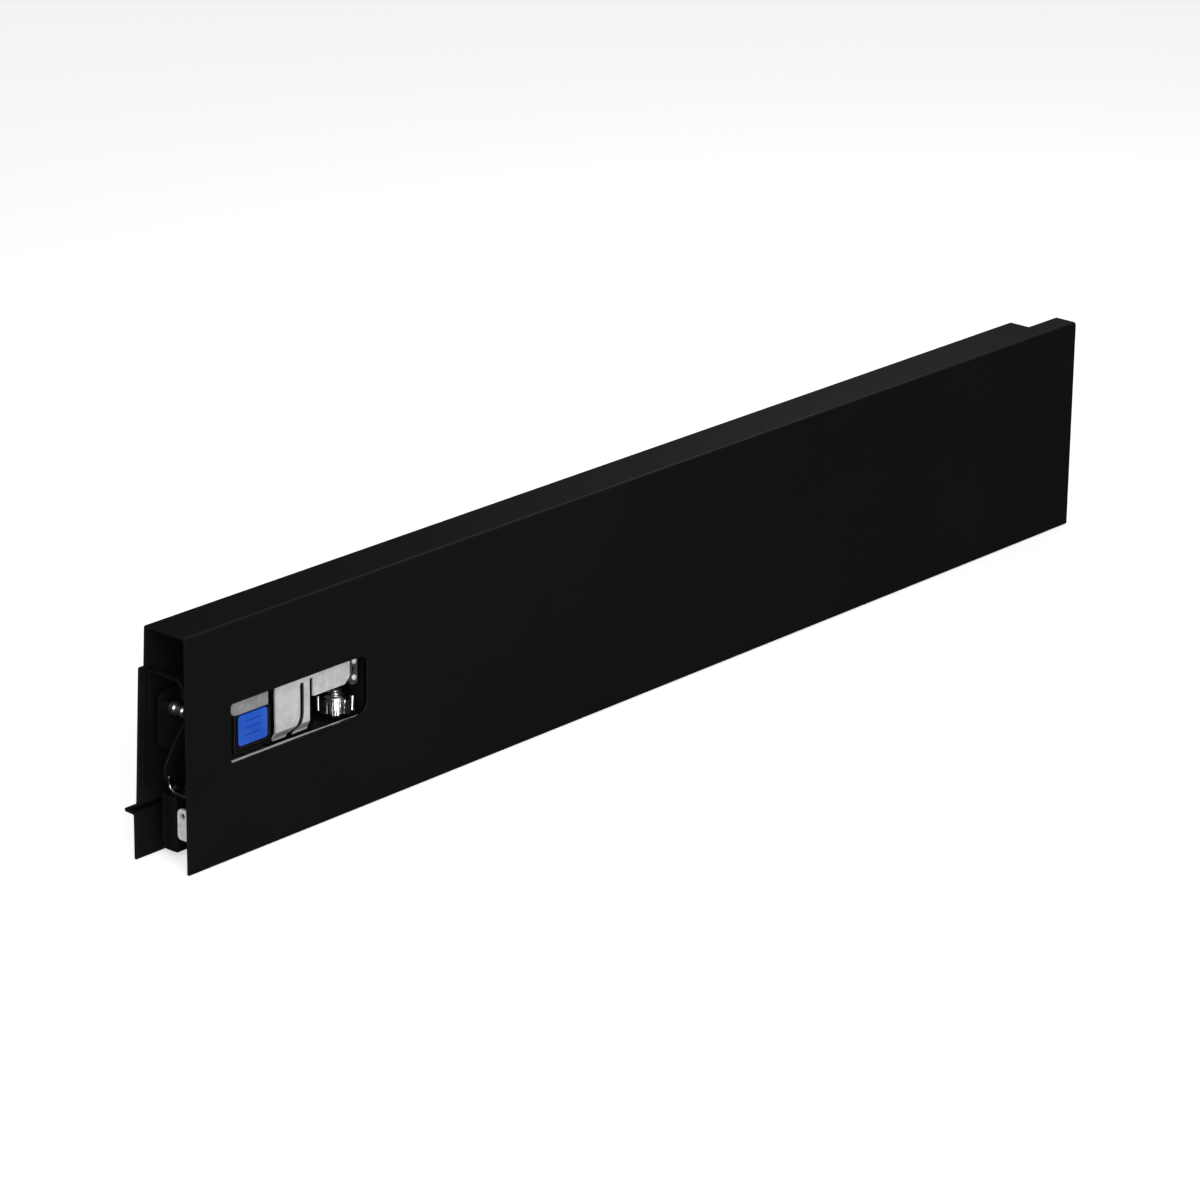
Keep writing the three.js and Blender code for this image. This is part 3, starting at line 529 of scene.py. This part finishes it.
BODY_OF = {
    node: body for body, nodes in frame["record"]["behaviour"]["bodies"].items() for node in nodes
}
SLOT_OF = {part["node"]: part["material_slot"] for part in frame["record"]["subparts"]}
ROUNDED_FROM, SHARP_FROM = math.radians(38), math.radians(42)


def add_piece(mesh, *nodes, name=None, rim=0.15, look=None, edge_look=None, segments=2):
    """mesh stands for these CAD nodes, in their slot's look, with rims rounded to rim millimetres.

    look is used in place of the slot's own, and edge_look is put on the rounded rims.
    """
    mesh.transform(TO_FRAME)
    mesh.name = name or nodes[0] + "_detail"
    piece = bpy.data.objects.new(mesh.name, mesh)
    bpy.context.scene.collection.objects.link(piece)
    mesh.materials.clear()
    mesh.materials.append(LOOKS[look or SLOT_OF[nodes[0]]])
    mesh.polygons.foreach_set("use_smooth", [True] * len(mesh.polygons))
    if rim:
        bevel = piece.modifiers.new("rim", "BEVEL")
        bevel.width = rim * MM
        bevel.segments = segments
        bevel.limit_method = "ANGLE"
        bevel.angle_limit = ROUNDED_FROM
        bevel.miter_outer = "MITER_ARC"
        if edge_look:
            mesh.materials.append(LOOKS[edge_look])
            bevel.material = 1
    else:
        mesh.set_sharp_from_angle(angle=SHARP_FROM)
    weigh = piece.modifiers.new("faces", "WEIGHTED_NORMAL")
    weigh.keep_sharp = True
    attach(piece, BODY_OF[nodes[0]])
    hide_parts(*nodes)
    return piece


def repaint(piece, look, chosen):
    """The faces of a piece that chosen picks take another look."""
    piece.data.materials.append(LOOKS[look])
    index = len(piece.data.materials) - 1
    for face in piece.data.polygons:
        if chosen(face):
            face.material_index = index


# ---- The drawer side --------------------------------------------------------------------------

LENGTH, HEIGHT, SHEET, TOP_WIDTH, FOOT = 500, 87, 1.0, 20, 0.6
LEAN = 0.046  # how far the inner wall leans outwards for each millimetre down
LEDGE_TIP, LEDGE_TOP, LEDGE_UNDER, LOWER_WALL = 28.8, 18.3, 17.1, 24.4
NOTCH_FRONT = 481.5
REAR_RIVETS, REAR_RIVET_HOLE = [(472, 42), (472, 68)], 2.3


def inner_wall(z):
    """The y of the inner wall's outside at a height above the ledge."""
    return TOP_WIDTH + LEAN * (HEIGHT - z)


def side_shell():
    """The roll-formed sheet, with its window, its stepped front end, rear notch and return flange."""
    section = rounded(
        [
            (0, FOOT),
            (0, HEIGHT, 1.2),
            (TOP_WIDTH, HEIGHT, 1.2),
            (inner_wall(21.4), 21.4, 1.2),
            (LEDGE_TIP, LEDGE_TOP, 0.5),
            (LEDGE_TIP, LEDGE_UNDER, 0.5),
            (LOWER_WALL, 16.9, 0.4),
            (LOWER_WALL, FOOT),
            (LOWER_WALL - SHEET, FOOT),
            (LOWER_WALL - SHEET, 16.9 + SHEET, 0.6),
            (LEDGE_TIP - 1.6, LEDGE_UNDER + SHEET),
            (inner_wall(20.8) - SHEET, 20.8, 0.6),
            (inner_wall(HEIGHT - SHEET) - SHEET, HEIGHT - SHEET, 0.3),
            (SHEET, HEIGHT - SHEET, 0.3),
            (SHEET, FOOT),
        ],
        steps=7,
    )
    opening = rectangle(20.9, 87.5, 35.5, 57.3, (1.2, 4.5, 3.5, 1.2))
    shell = join(
        cut(
            prism(section, "x", -FRONT_LIP, LENGTH),
            block(-9, 0, -5, 10, -5, 95),
            block(-9, 0, 5, 35, 72, 95),
            block(NOTCH_FRONT, 520, 10, 40, -5, 95),
        ),
        block(LENGTH - SHEET, LENGTH, 0.5, 9.5, 27, HEIGHT - 0.5),
    )
    return cut(
        shell,
        prism(opening, "y", -5, 5),
        *(rod("y", x, z, REAR_RIVET_HOLE, 12, 35) for x, z in REAR_RIVETS),
    )


# The shell's rims take the lighter coat: partly thin paint over the edges, partly a painted highlight
# along the folds.
add_piece(side_shell(), "side_profile", rim=0.22, edge_look="coat_edge_highlight", segments=3)


def rear_bracket():
    """A plate against the inner wall, joggled at the notch into the tab that holds the back panel."""
    near, far, step = 17.6, 18.8, 1.2
    front, rear, low, high = 463, 498, 31, 78
    tab_front = NOTCH_FRONT + 0.8
    plates = join(
        prism(rectangle(front, tab_front, low, high, (3, 0, 0, 3)), "y", near, far),
        prism(rectangle(tab_front - 0.01, rear, low, high, (0, 3, 3, 0)), "y", near + step, far + step),
        block(tab_front - 0.4, tab_front + 0.8, near, near + step + 0.5, low, high),
        block(front, rear - 4, near - 4, near + 0.5, low, low + 1.2),
    )
    return cut(
        plates,
        *(rod("y", 491, z, 2, 10, 25) for z in (40, 55, 70)),
        *(rod("y", x, z, REAR_RIVET_HOLE, 10, 25) for x, z in REAR_RIVETS),
    )


add_piece(rear_bracket(), "rear_bracket", rim=0.12)

for node, (x, z) in zip(("rear_rivet_lower", "rear_rivet_upper"), REAR_RIVETS):
    head = inner_wall(z) + 0.25
    inside = [(0, 16.3), (2.3, 16.4), (3.1, 16.7), (3.4, 17.3), (2, 17.3)]
    outside = [(2, head), (3.2, head), (3, head + 0.4), (2.2, head + 0.75), (0, head + 0.9)]
    add_piece(lathe(inside + outside, "y", x, z), node, rim=0)

# ---- The runner -------------------------------------------------------------------------------

RAIL_SHEET, RAIL_Y, RAIL_HEIGHT = 1.2, 12.2, 22.8
MIDDLE_FRONT, MIDDLE_REAR, BUFFER, BUFFER_GAP = 30, 470, 4, 0.3
BALL_RADIUS, ROW_OFFSET = 1.7, 5.2
UNDER_HEAD, OVER_HEAD = 3.05, 7.95  # heights of a rail's two levels of balls
CAGE_LENGTH, CAGE_MARGIN, BALLS, BALL_PITCH = 200, 8, 9, 23


def turned_over(points):
    return [(a, RAIL_HEIGHT - b) for a, b in points]


def with_mirror(half):
    """Corners on one side of the rail's centre line, then their mirror images on the other."""
    return [*half, *((2 * RAIL_Y - corner[0], *corner[1:]) for corner in reversed(half))]


def channel_section():
    """A rolled channel with inward lips, open upwards."""
    half = [
        (RAIL_Y + 8.4, 0, 1.4),
        (RAIL_Y + 8.4, 11, 1.2),
        (RAIL_Y + 4.3, 11),
        (RAIL_Y + 4.3, 9.8),
        (RAIL_Y + 7.2, 9.8, 0.3),
        (RAIL_Y + 7.2, RAIL_SHEET, 0.5),
    ]
    return rounded(with_mirror(half), steps=5)


def middle_section(growth=0.0, web=0.6, bend=0.4):
    """An I with wide flanges. A buffer's is thicker by growth, with a wider web."""
    low, high = 4.9 - growth, 6.1 + growth
    lower = [
        (RAIL_Y - web, high, bend),
        (RAIL_Y - 6.2, high, 0.2),
        (RAIL_Y - 6.2, low, 0.2),
        (RAIL_Y + 6.2, low, 0.2),
        (RAIL_Y + 6.2, high, 0.2),
        (RAIL_Y + web, high, bend),
    ]
    upper = [(a, RAIL_HEIGHT - b, r) for a, b, r in reversed(lower)]
    return rounded([*lower, *upper], steps=4)


def screw_hole(x, radius, sink):
    """A countersunk hole's shape, to be cut from the rail's base."""
    profile = [(0, -1), (radius, -1), (radius, 0.5), (sink, RAIL_SHEET + 0.1), (sink, 3), (0, 3)]
    return lathe(profile, "z", x, RAIL_Y, 40)


def cabinet_rail():
    return cut(
        prism(channel_section(), "x", 22, 482),
        *(screw_hole(x, 2.3, 3.3) for x in (60, 250, 440)),
    )


add_piece(cabinet_rail(), "cabinet_rail", rim=0.12)
add_piece(prism(turned_over(channel_section()), "x", 20.4, 478), "drawer_rail", rim=0.12)
add_piece(prism(middle_section(), "x", MIDDLE_FRONT, MIDDLE_REAR), "middle_rail", rim=0.12)
buffers = {
    "middle_rail_front_buffer": MIDDLE_FRONT - BUFFER_GAP - BUFFER,
    "middle_rail_rear_buffer": MIDDLE_REAR + BUFFER_GAP,
}
for node, start in buffers.items():
    add_piece(prism(middle_section(1.6, 2.6, 0.8), "x", start, start + BUFFER), node, rim=0.3)


def cage(upper, ball_places):
    """A nylon channel with a pocket for every ball."""
    inner, outer, flap = 6.5, 6.9, 2.6
    half = [
        (RAIL_Y + outer, UNDER_HEAD - 0.65, 0.15),
        (RAIL_Y + outer, OVER_HEAD + 0.65, 0.15),
        (RAIL_Y + flap, OVER_HEAD + 0.65, 0.3),
        (RAIL_Y + flap, OVER_HEAD - 0.65, 0.3),
        (RAIL_Y + inner, OVER_HEAD - 0.65),
        (RAIL_Y + inner, UNDER_HEAD + 0.65),
    ]
    section = rounded(with_mirror(half), steps=3)
    section = turned_over(section) if upper else section
    start = ball_places[0] - CAGE_MARGIN
    pockets = [
        rod("z", x, y, BALL_RADIUS + 0.2, -1, 24, 24)
        for x in ball_places
        for y in (RAIL_Y - ROW_OFFSET, RAIL_Y + ROW_OFFSET)
    ]
    return cut(prism(section, "x", start, start + CAGE_LENGTH), *pockets)


def add_cage(prefix, cage_front, upper):
    """A cage and its four rows of balls. A row stands for the CAD model's front and rear ball."""
    places = [cage_front + CAGE_MARGIN + BALL_PITCH * i for i in range(BALLS)]
    add_piece(cage(upper, places), prefix + "_ball_cage", rim=0.1)
    for level, height in (("under", UNDER_HEAD), ("over", OVER_HEAD)):
        z = RAIL_HEIGHT - height if upper else height
        for row, y in (("near", RAIL_Y - ROW_OFFSET), ("far", RAIL_Y + ROW_OFFSET)):
            balls = together([ball_at(x, y, z, BALL_RADIUS) for x in places])
            stem = f"{prefix}_ball_{level}_{row}"
            add_piece(balls, stem + "_front", stem + "_rear", name=stem + "_detail", rim=0)


add_cage("lower", 157.5, False)
add_cage("upper", 152.5, True)


def saddle(front):
    """A short channel between the drawer side's walls, standing on the drawer rail."""
    base, top = RAIL_HEIGHT + 0.3, 33
    near, far = SHEET + 0.4, inner_wall(top) - SHEET - 0.4
    section = rounded(
        [
            (near, top),
            (near, base, 1.6),
            (far, base, 1.6),
            (far, top),
            (far - RAIL_SHEET, top),
            (far - RAIL_SHEET, base + RAIL_SHEET, 0.5),
            (near + RAIL_SHEET, base + RAIL_SHEET, 0.5),
            (near + RAIL_SHEET, top),
        ]
    )
    return cut(prism(section, "x", front, front + 30), rod("z", front + 15, RAIL_Y, 3, 15, 30))


add_piece(saddle(112), "rail_saddle_front", rim=0.15)
add_piece(saddle(384), "rail_saddle_rear", rim=0.15)
add_piece(from_cad("cabinet_rear_stop"), "cabinet_rear_stop", rim=0.4)
add_piece(from_cad("runner_front_block"), "runner_front_block", rim=0.25)

CATCH_RIVETS = {"catch_plate_rivet_front": 32, "catch_plate_rivet_rear": 48}
CATCH_RIVET_Z = 15.6


def catch_plate():
    """The upright flange across the front opening, and its leg along the outer wall."""
    near = 2.2
    flange = prism(rectangle(near, 12, 9, 20.4, (0.6, 1.5, 2, 0.6)), "x", 6.4, 7.6)
    leg = prism(rectangle(6.8, 56, 11.4, 19.8, (0.5, 2, 2, 0.5)), "y", near, near + 1.2)
    return cut(
        join(flange, leg),
        rod("x", 9.6, 17.9, 1.2, 2, 12),
        *(rod("y", x, CATCH_RIVET_Z, 1.5, 0, 5) for x in CATCH_RIVETS.values()),
    )


# The catch plate is painted a lighter zinc, a painted highlight in place of its bright reflections.
add_piece(catch_plate(), "front_catch_plate", rim=0.4, segments=3, look="highlight_zinc")
for node, x in CATCH_RIVETS.items():
    profile = [(0, 1.45), (1.3, 1.5), (1.9, 1.65), (2.2, 1.9), (1.2, 1.9), (1.2, 3.4), (0, 3.4)]
    add_piece(lathe(profile, "y", x, CATCH_RIVET_Z), node, rim=0)

# ---- The front fixing -------------------------------------------------------------------------

SPINDLE_X, SPINDLE_Y, SPINDLE_RADIUS = 80.4, 9, 1.8
WHEEL_RADIUS, WHEEL_BOTTOM, WHEEL_RIM, HUB_RADIUS, HUB = 6.8, 36.4, 5.4, 3.4, 1.4
RIBS, RIB_DEPTH = 8, 1.3
CARRIAGE_FRONT, CARRIAGE_REAR, CARRIAGE_TOP, CARRIAGE_FAR = 45.1, 81.6, 62.2, 16.8
CARRIER_RIVETS, CARRIER_RIVET_HOLE = [(49, 58.5), (66, 58.5)], 1.7
TURNING_GAP = 0.3
PIN_X, PIN_Z, PIN_RADIUS = 6.8, 56.7, 2.3
PIVOT_X, PIVOT_Z, PIVOT_RADIUS = 18, 46, 1.8
BUTTON_LEFT, BUTTON_RIGHT, BUTTON_BOTTOM, BUTTON_TOP = 26.2, 40.2, 39.7, 50.9
BUTTON_X, BUTTON_Z = 33.2, 45.3


def fixing_plate():
    """The plate behind the whole front fixing, with its top cut down ahead of the carriage."""
    plate = prism(rectangle(10, 96, 28, 66, 4.0), "y", 18.6, 19.6)
    return cut(plate, block(5, CARRIAGE_FRONT, 17, 21, 60, 70))


add_piece(fixing_plate(), "fixing_plate", rim=0.15)


def fixing_tray():
    """A folded tray. Its lip runs out towards the rear, so the window's edge hides more of it."""
    near, far, thick, floor, lip_top = 1.35, 18.3, 0.8, 32.4, 35.8
    section = rounded(
        [
            (near, lip_top),
            (near, floor, 1.2),
            (far, floor),
            (far, floor + thick),
            (near + thick, floor + thick, 0.4),
            (near + thick, lip_top),
        ]
    )
    falling = prism([(19, 36.5), (92, 36.5), (92, 34.85), (50, 35.7), (19, 35.8)], "y", 0, 3)
    return cut(
        prism(section, "x", 20.5, 91),
        falling,
        rod("z", SPINDLE_X, SPINDLE_Y, SPINDLE_RADIUS + TURNING_GAP, 25, 36),
    )


tray = add_piece(fixing_tray(), "fixing_tray", rim=0.12)
# The top of the tray's floor, seen through the window, is painted dark: painted shade.
over_floor = to_frame(0, 0, 34).z
repaint(tray, "darkened_zinc", lambda face: face.normal.z > 0.5 and face.center.z < over_floor)


def carriage_sheet():
    """The upright plate with its foot folded inwards, the bridge over the top and the back leg."""
    near, thick, top, fold = 3, 0.8, CARRIAGE_TOP, 38.9
    foot_near, foot_bottom, strip_rear = near + 1.4, 35.7, 61.8
    folded = [
        (near, top),
        (near, fold + 0.4),
        (near + 0.05, fold),
        (near + 0.2, fold - 0.4),
        (foot_near, foot_bottom + 0.8),
        (foot_near, foot_bottom),
        (foot_near + thick, foot_bottom),
        (foot_near + thick, foot_bottom + 1),
        (near + thick + 0.1, fold - 0.1),
        (near + thick, fold + 0.4),
        (near + thick, top),
    ]
    right_plate = rounded(
        [
            (61.3, 54.6),
            (63.6, 54.6, 0.7),
            (63.6, 47.6, 0.3),
            (79.2, 47.6, 0.4),
            (CARRIAGE_REAR, 50, 0.4),
            (CARRIAGE_REAR, top),
            (61.3, top),
        ]
    )
    slot = [
        (50.4, 34.6),
        *arc(50.4, 43.4, 6.7, -76, 0, 14),
        *arc(58, 53.3, 0.9, 180, 0, 12),
        *arc(50.2, 43.4, 8.7, 0, -76, 14),
        (52.2, 34.6),
    ]
    back_leg = rectangle(CARRIAGE_FRONT, CARRIAGE_REAR, 55, top, (2, 2, 0.6, 0.6))
    return cut(
        join(
            prism(folded, "x", CARRIAGE_FRONT, strip_rear),
            prism(right_plate, "y", near, near + thick),
            block(CARRIAGE_FRONT, CARRIAGE_REAR, near + 0.5, CARRIAGE_FAR - 0.3, top - thick, top),
            prism(back_leg, "y", 16, CARRIAGE_FAR),
        ),
        prism(slot, "y", 2, 7),
        *(rod("y", x, z, CARRIER_RIVET_HOLE, 14, 18) for x, z in CARRIER_RIVETS),
    )


def in_slot(face):
    """Whether a face of the sheet stands across the sheet's thickness inside its slot."""
    low, high = to_frame(48, 0, 30), to_frame(59.2, 5.5, 54.4)
    return abs(face.normal.y) < 0.3 and all(a < c < b for a, c, b in zip(low, face.center, high))


# The sheet's rims carry a painted highlight in the lighter zinc.
sheet = add_piece(carriage_sheet(), "height_carriage", rim=0.22, segments=3, edge_look="highlight_zinc")
# The downward-facing faces of the folded foot are painted darker: painted shade.
repaint(sheet, "fold_shade_zinc", lambda face: face.normal.y < -0.5 and face.normal.z < -0.2)
# The walls of the slot are painted dark: painted shade inside the slot.
repaint(sheet, "darkened_zinc", in_slot)


def carrier():
    """The arm behind the sheet, with the collar round the pin."""
    outline = rounded(
        [
            (3.8, 40.5, 4),
            (87, 40.5, 4),
            (87, 59.8, 0.6),
            (CARRIAGE_REAR, 59.8, 0.4),
            (CARRIAGE_REAR, CARRIAGE_TOP, 0.6),
            (3.8, CARRIAGE_TOP, 4),
        ]
    )
    return cut(
        join(prism(outline, "y", 17.1, 18.3), rod("y", PIN_X, PIN_Z, PIN_RADIUS, 14.1, 17.6)),
        rod("y", PIVOT_X, PIVOT_Z, PIVOT_RADIUS + TURNING_GAP, 15, 20),
        rod("y", PIN_X, PIN_Z, 1.6, 13, 20),
        *(rod("y", x, z, CARRIER_RIVET_HOLE, 15, 20) for x, z in CARRIER_RIVETS),
    )


add_piece(carrier(), "catch_carrier", rim=0.16)
for node, (x, z) in zip(("carrier_rivet_front", "carrier_rivet_rear"), CARRIER_RIVETS):
    profile = [(0, 14.8), (1.5, 14.9), (2.2, 15.3), (2.4, 15.7), (1.4, 15.7), (1.4, 18.3), (0, 18.3)]
    add_piece(lathe(profile, "y", x, z), node, rim=0)


def nut():
    """The block that rides the spindle's thread and reaches back to the carrier."""
    return cut(
        block(SPINDLE_X - 3.8, SPINDLE_X + 3.8, 4.6, CARRIAGE_FAR, 47.6, 53.2),
        rod("z", SPINDLE_X, SPINDLE_Y, SPINDLE_RADIUS + TURNING_GAP, 40, 60),
    )


add_piece(nut(), "spindle_nut", rim=0.3)


def wheel():
    """A drum with rounded upright ribs, a coned top and a low hub, bored for the spindle."""
    ring = []
    steps = RIBS * 24
    flank, valley_share = 2.4, 0.3
    for i in range(steps):
        turn = 2 * math.pi * i / steps
        wave = math.cos(RIBS * turn)
        sunk = min(max(0.5 - flank * (wave + valley_share), 0.0), 1.0)
        radius = WHEEL_RADIUS - RIB_DEPTH * (3 - 2 * sunk) * sunk * sunk
        ring.append((SPINDLE_X + radius * math.cos(turn), SPINDLE_Y + radius * math.sin(turn)))
    base = WHEEL_BOTTOM + WHEEL_RIM
    top = base + HUB
    crown = eased(
        [
            (0, base - 1),
            (WHEEL_RADIUS - 1.9, base - 1),
            (WHEEL_RADIUS - 1.9, base + 0.2),
            (HUB_RADIUS + 0.6, base + 0.4),
            (HUB_RADIUS, base + 0.6),
            (HUB_RADIUS, top),
            (0, top),
        ],
        0.15,
    )
    dish_bottom, above = top - 0.45, base + 3
    dish = [(0, dish_bottom), (HUB_RADIUS - 0.7, dish_bottom), (HUB_RADIUS - 0.5, above), (0, above)]
    return cut(
        join(
            prism(ring, "z", WHEEL_BOTTOM, base),
            lathe(crown, "z", SPINDLE_X, SPINDLE_Y),
        ),
        lathe(dish, "z", SPINDLE_X, SPINDLE_Y),
        rod("z", SPINDLE_X, SPINDLE_Y, SPINDLE_RADIUS + TURNING_GAP, 30, 50),
    )


add_piece(wheel(), "adjuster_wheel", rim=0.3, segments=4)


def threaded_spindle():
    """The wheel's axis, with its thread as plain rings a millimetre apart."""
    rings = []
    for z in range(46, 56):
        rings += [(SPINDLE_RADIUS - 0.35, z), (SPINDLE_RADIUS, z + 0.45), (SPINDLE_RADIUS, z + 0.55)]
    foot = [(0, 32.4), (1.5, 32.4), (SPINDLE_RADIUS, 32.7), (SPINDLE_RADIUS, 45.6)]
    tip = [(1.3, 56.5), (1.0, 57), (0, 57)]
    return lathe(foot + rings + tip, "z", SPINDLE_X, SPINDLE_Y)


add_piece(threaded_spindle(), "adjuster_spindle", rim=0)
add_piece(from_cad("wheel_cradle"), "wheel_cradle", rim=0.2)


def catch_pin():
    """The pin, turned along y: a domed head, a waist, a flange and a thin root."""
    waist, root = 1.7, 1.3
    head_part = [
        (0, 6.8), (1.1, 6.8, 0.2), (1.9, 7.15, 0.2), (PIN_RADIUS, 7.8, 0.2), (PIN_RADIUS, 8.4, 0.15)
    ]
    waist_part = [(waist, 8.9, 0.2), (waist, 11.2, 0.2)]
    flange_part = [(PIN_RADIUS, 11.7, 0.15), (PIN_RADIUS, 13.8, 0.25)]
    root_part = [(root, 13.8, 0.05), (root, 18.3, 0.1), (0, 18.3)]
    profile = eased(head_part + waist_part + flange_part + root_part, 0.1)
    return lathe(profile, "y", PIN_X, PIN_Z, 64)


add_piece(catch_pin(), "upper_catch_pin", rim=0, look="satin_steel")

pivot_head = [(0, 12.2), (2.5, 12.2), (2.9, 12.4), (3, 12.7), (3, 15.1)]
pivot_stem = [(PIVOT_RADIUS, 15.1), (PIVOT_RADIUS, 18.3), (0, 18.3)]
add_piece(lathe(pivot_head + pivot_stem, "y", PIVOT_X, PIVOT_Z), "lever_pivot_pin", rim=0)


def lever():
    """The rocking lever: its nose carries the hook, and its tail lies behind the button's stem."""
    nose = [(4.4, 35.2, 0.8), (4.4, 30, 0.6), (7.8, 30, 0.6), (8.6, 35, 1.5), (15, 41.2, 3)]
    tail = [(26, 42.6, 4), (40, 43.6, 1.6), (40.6, 47.6, 1.6), (27, 49, 4)]
    boss = [(20, 50.3, 2.6), (14.2, 49.2, 2), (8, 41, 3)]
    pivot_hole = rod("y", PIVOT_X, PIVOT_Z, PIVOT_RADIUS + TURNING_GAP, 12, 20)
    return cut(prism(rounded(nose + tail + boss), "y", 15.4, 16.6), pivot_hole)


add_piece(lever(), "catch_lever", rim=0.2)


def hook():
    """A J of bright strip lying across the drawer side, drawn across x."""
    far, tip, top, bottom, thick, outer, curl = 15.1, 5.2, 31.8, 25.8, 1.1, 4.2, 2.4
    far_y, far_z = far - outer, bottom + outer
    tip_y, tip_z = tip + curl, bottom + curl
    section = [
        (far, top),
        *arc(far_y, far_z, outer, 0, -90, 14),
        *arc(tip_y, tip_z, curl, 270, 180, 10),
        (tip, tip_z + 2.4),
        (tip + thick, tip_z + 2.4),
        *arc(tip_y, tip_z, curl - thick, 180, 270, 10),
        *arc(far_y, far_z, outer - thick, -90, 0, 14),
        (far - thick, top),
    ]
    return prism(section, "x", 4.6, 7.6)


add_piece(hook(), "catch_hook", rim=0.3, segments=4)


def push_button():
    """A flat face with rounded corners and three grip ribs, and the stem behind it."""
    near, rib_near = 1.9, 1.55
    outline = rectangle(BUTTON_LEFT, BUTTON_RIGHT, BUTTON_BOTTOM, BUTTON_TOP, 1.3)
    face = prism(outline, "y", near, 6)
    ribs = [
        block(BUTTON_LEFT + 3, BUTTON_RIGHT - 3, rib_near, near + 0.5, z - 0.5, z + 0.5)
        for z in (BUTTON_Z - 2.6, BUTTON_Z, BUTTON_Z + 2.6)
    ]
    return join(face, rod("y", BUTTON_X, BUTTON_Z, 2, 5.5, 13), *ribs)


add_piece(push_button(), "release_button", rim=0.3, segments=3)


def button_surround():
    """The frame round the button: a box with a well, headroom for the grey plate and a stem hole."""
    near, far, wall, clear = 1.7, 11, 2.2, 0.4
    left, right, bottom, top = BUTTON_LEFT, BUTTON_RIGHT, BUTTON_BOTTOM, BUTTON_TOP
    outside = rectangle(left - wall, right + 1.2, bottom - wall, top + wall, (1.5, 1, 1, 1.5))
    well = rectangle(left - clear, right + clear, bottom - clear, top + clear, 1.5)
    return cut(
        prism(outside, "y", near, far),
        prism(well, "y", 0, 9.8),
        block(left - wall - 1, right + 3, near - 1, 3.1, top + clear, top + wall + 1),
        rod("y", BUTTON_X, BUTTON_Z, 2.3, 5, 14),
    )


# The frame's rims carry a painted highlight in a lighter brownish plastic.
add_piece(button_surround(), "button_frame", rim=0.25, edge_look="frame_rim_highlight")

spring = add_piece(coil(2.8, 0.25, 4.5, 6.3, 9.5, BUTTON_X, BUTTON_Z), "button_spring", rim=0)
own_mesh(spring)
add_piece(coil(3.9, 0.35, 4, 10.6, 15.1, PIVOT_X, PIVOT_Z), "catch_spring", rim=0)

add_piece(
    prism(rectangle(22.4, 40.4, 51.6, 60, (3, 0.4, 0.4, 1)), "y", 1.7, 2.8), "retainer_plate", rim=0.2
)

GUIDE_RIVETS = {"guide_rivet_upper": 55.2, "guide_rivet_lower": 49.1}
GUIDE_RIVET_X = 83.5


def guide():
    """The upright at the window's rear end, with its slot, and the arm that holds it."""
    left, right, near, far = 82, 85.4, 3, 4.2
    upright = prism(rectangle(left, right, 46.4, 63.6, (1, 1, 0, 0)), "y", near, far)
    return cut(
        join(upright, block(left, right, near + 0.5, 18.3, 62.4, 63.6)),
        prism(rectangle(82.7, 84.5, 50.6, 53.5, 0.8), "y", 2, 6),
        *(rod("y", GUIDE_RIVET_X, z, 1.1, 2, 6, 24) for z in GUIDE_RIVETS.values()),
    )


add_piece(guide(), "guide_bar", rim=0.2, look="darkened_zinc")
for node, z in GUIDE_RIVETS.items():
    profile = [(0, 2.1), (0.5, 2.14), (0.9, 2.35), (1.1, 2.7), (0.8, 2.7), (0.8, 4.2), (0, 4.2)]
    add_piece(lathe(profile, "y", GUIDE_RIVET_X, z, 32), node, rim=0, look="zinc")


def housing():
    """The arched insert inside the front opening, against the leaning inner wall."""
    near, wall, top, bend, leg_end, bottom = 1.6, 1.0, 71.2, 5, 64.5, 27.5

    def far(z):
        return inner_wall(z) - SHEET - 0.3

    section = [
        (far(bottom), bottom),
        (far(top), top),
        *arc(near + bend, top - bend, bend, 90, 180, 12),
        (near, leg_end),
        (near + wall, leg_end),
        *arc(near + bend, top - bend, bend - wall, 180, 90, 12),
        (far(top) - wall, top - wall),
        (far(bottom) - wall, bottom),
    ]
    return prism(section, "x", 0.4, 3)


add_piece(housing(), "front_housing", rim=0.15)
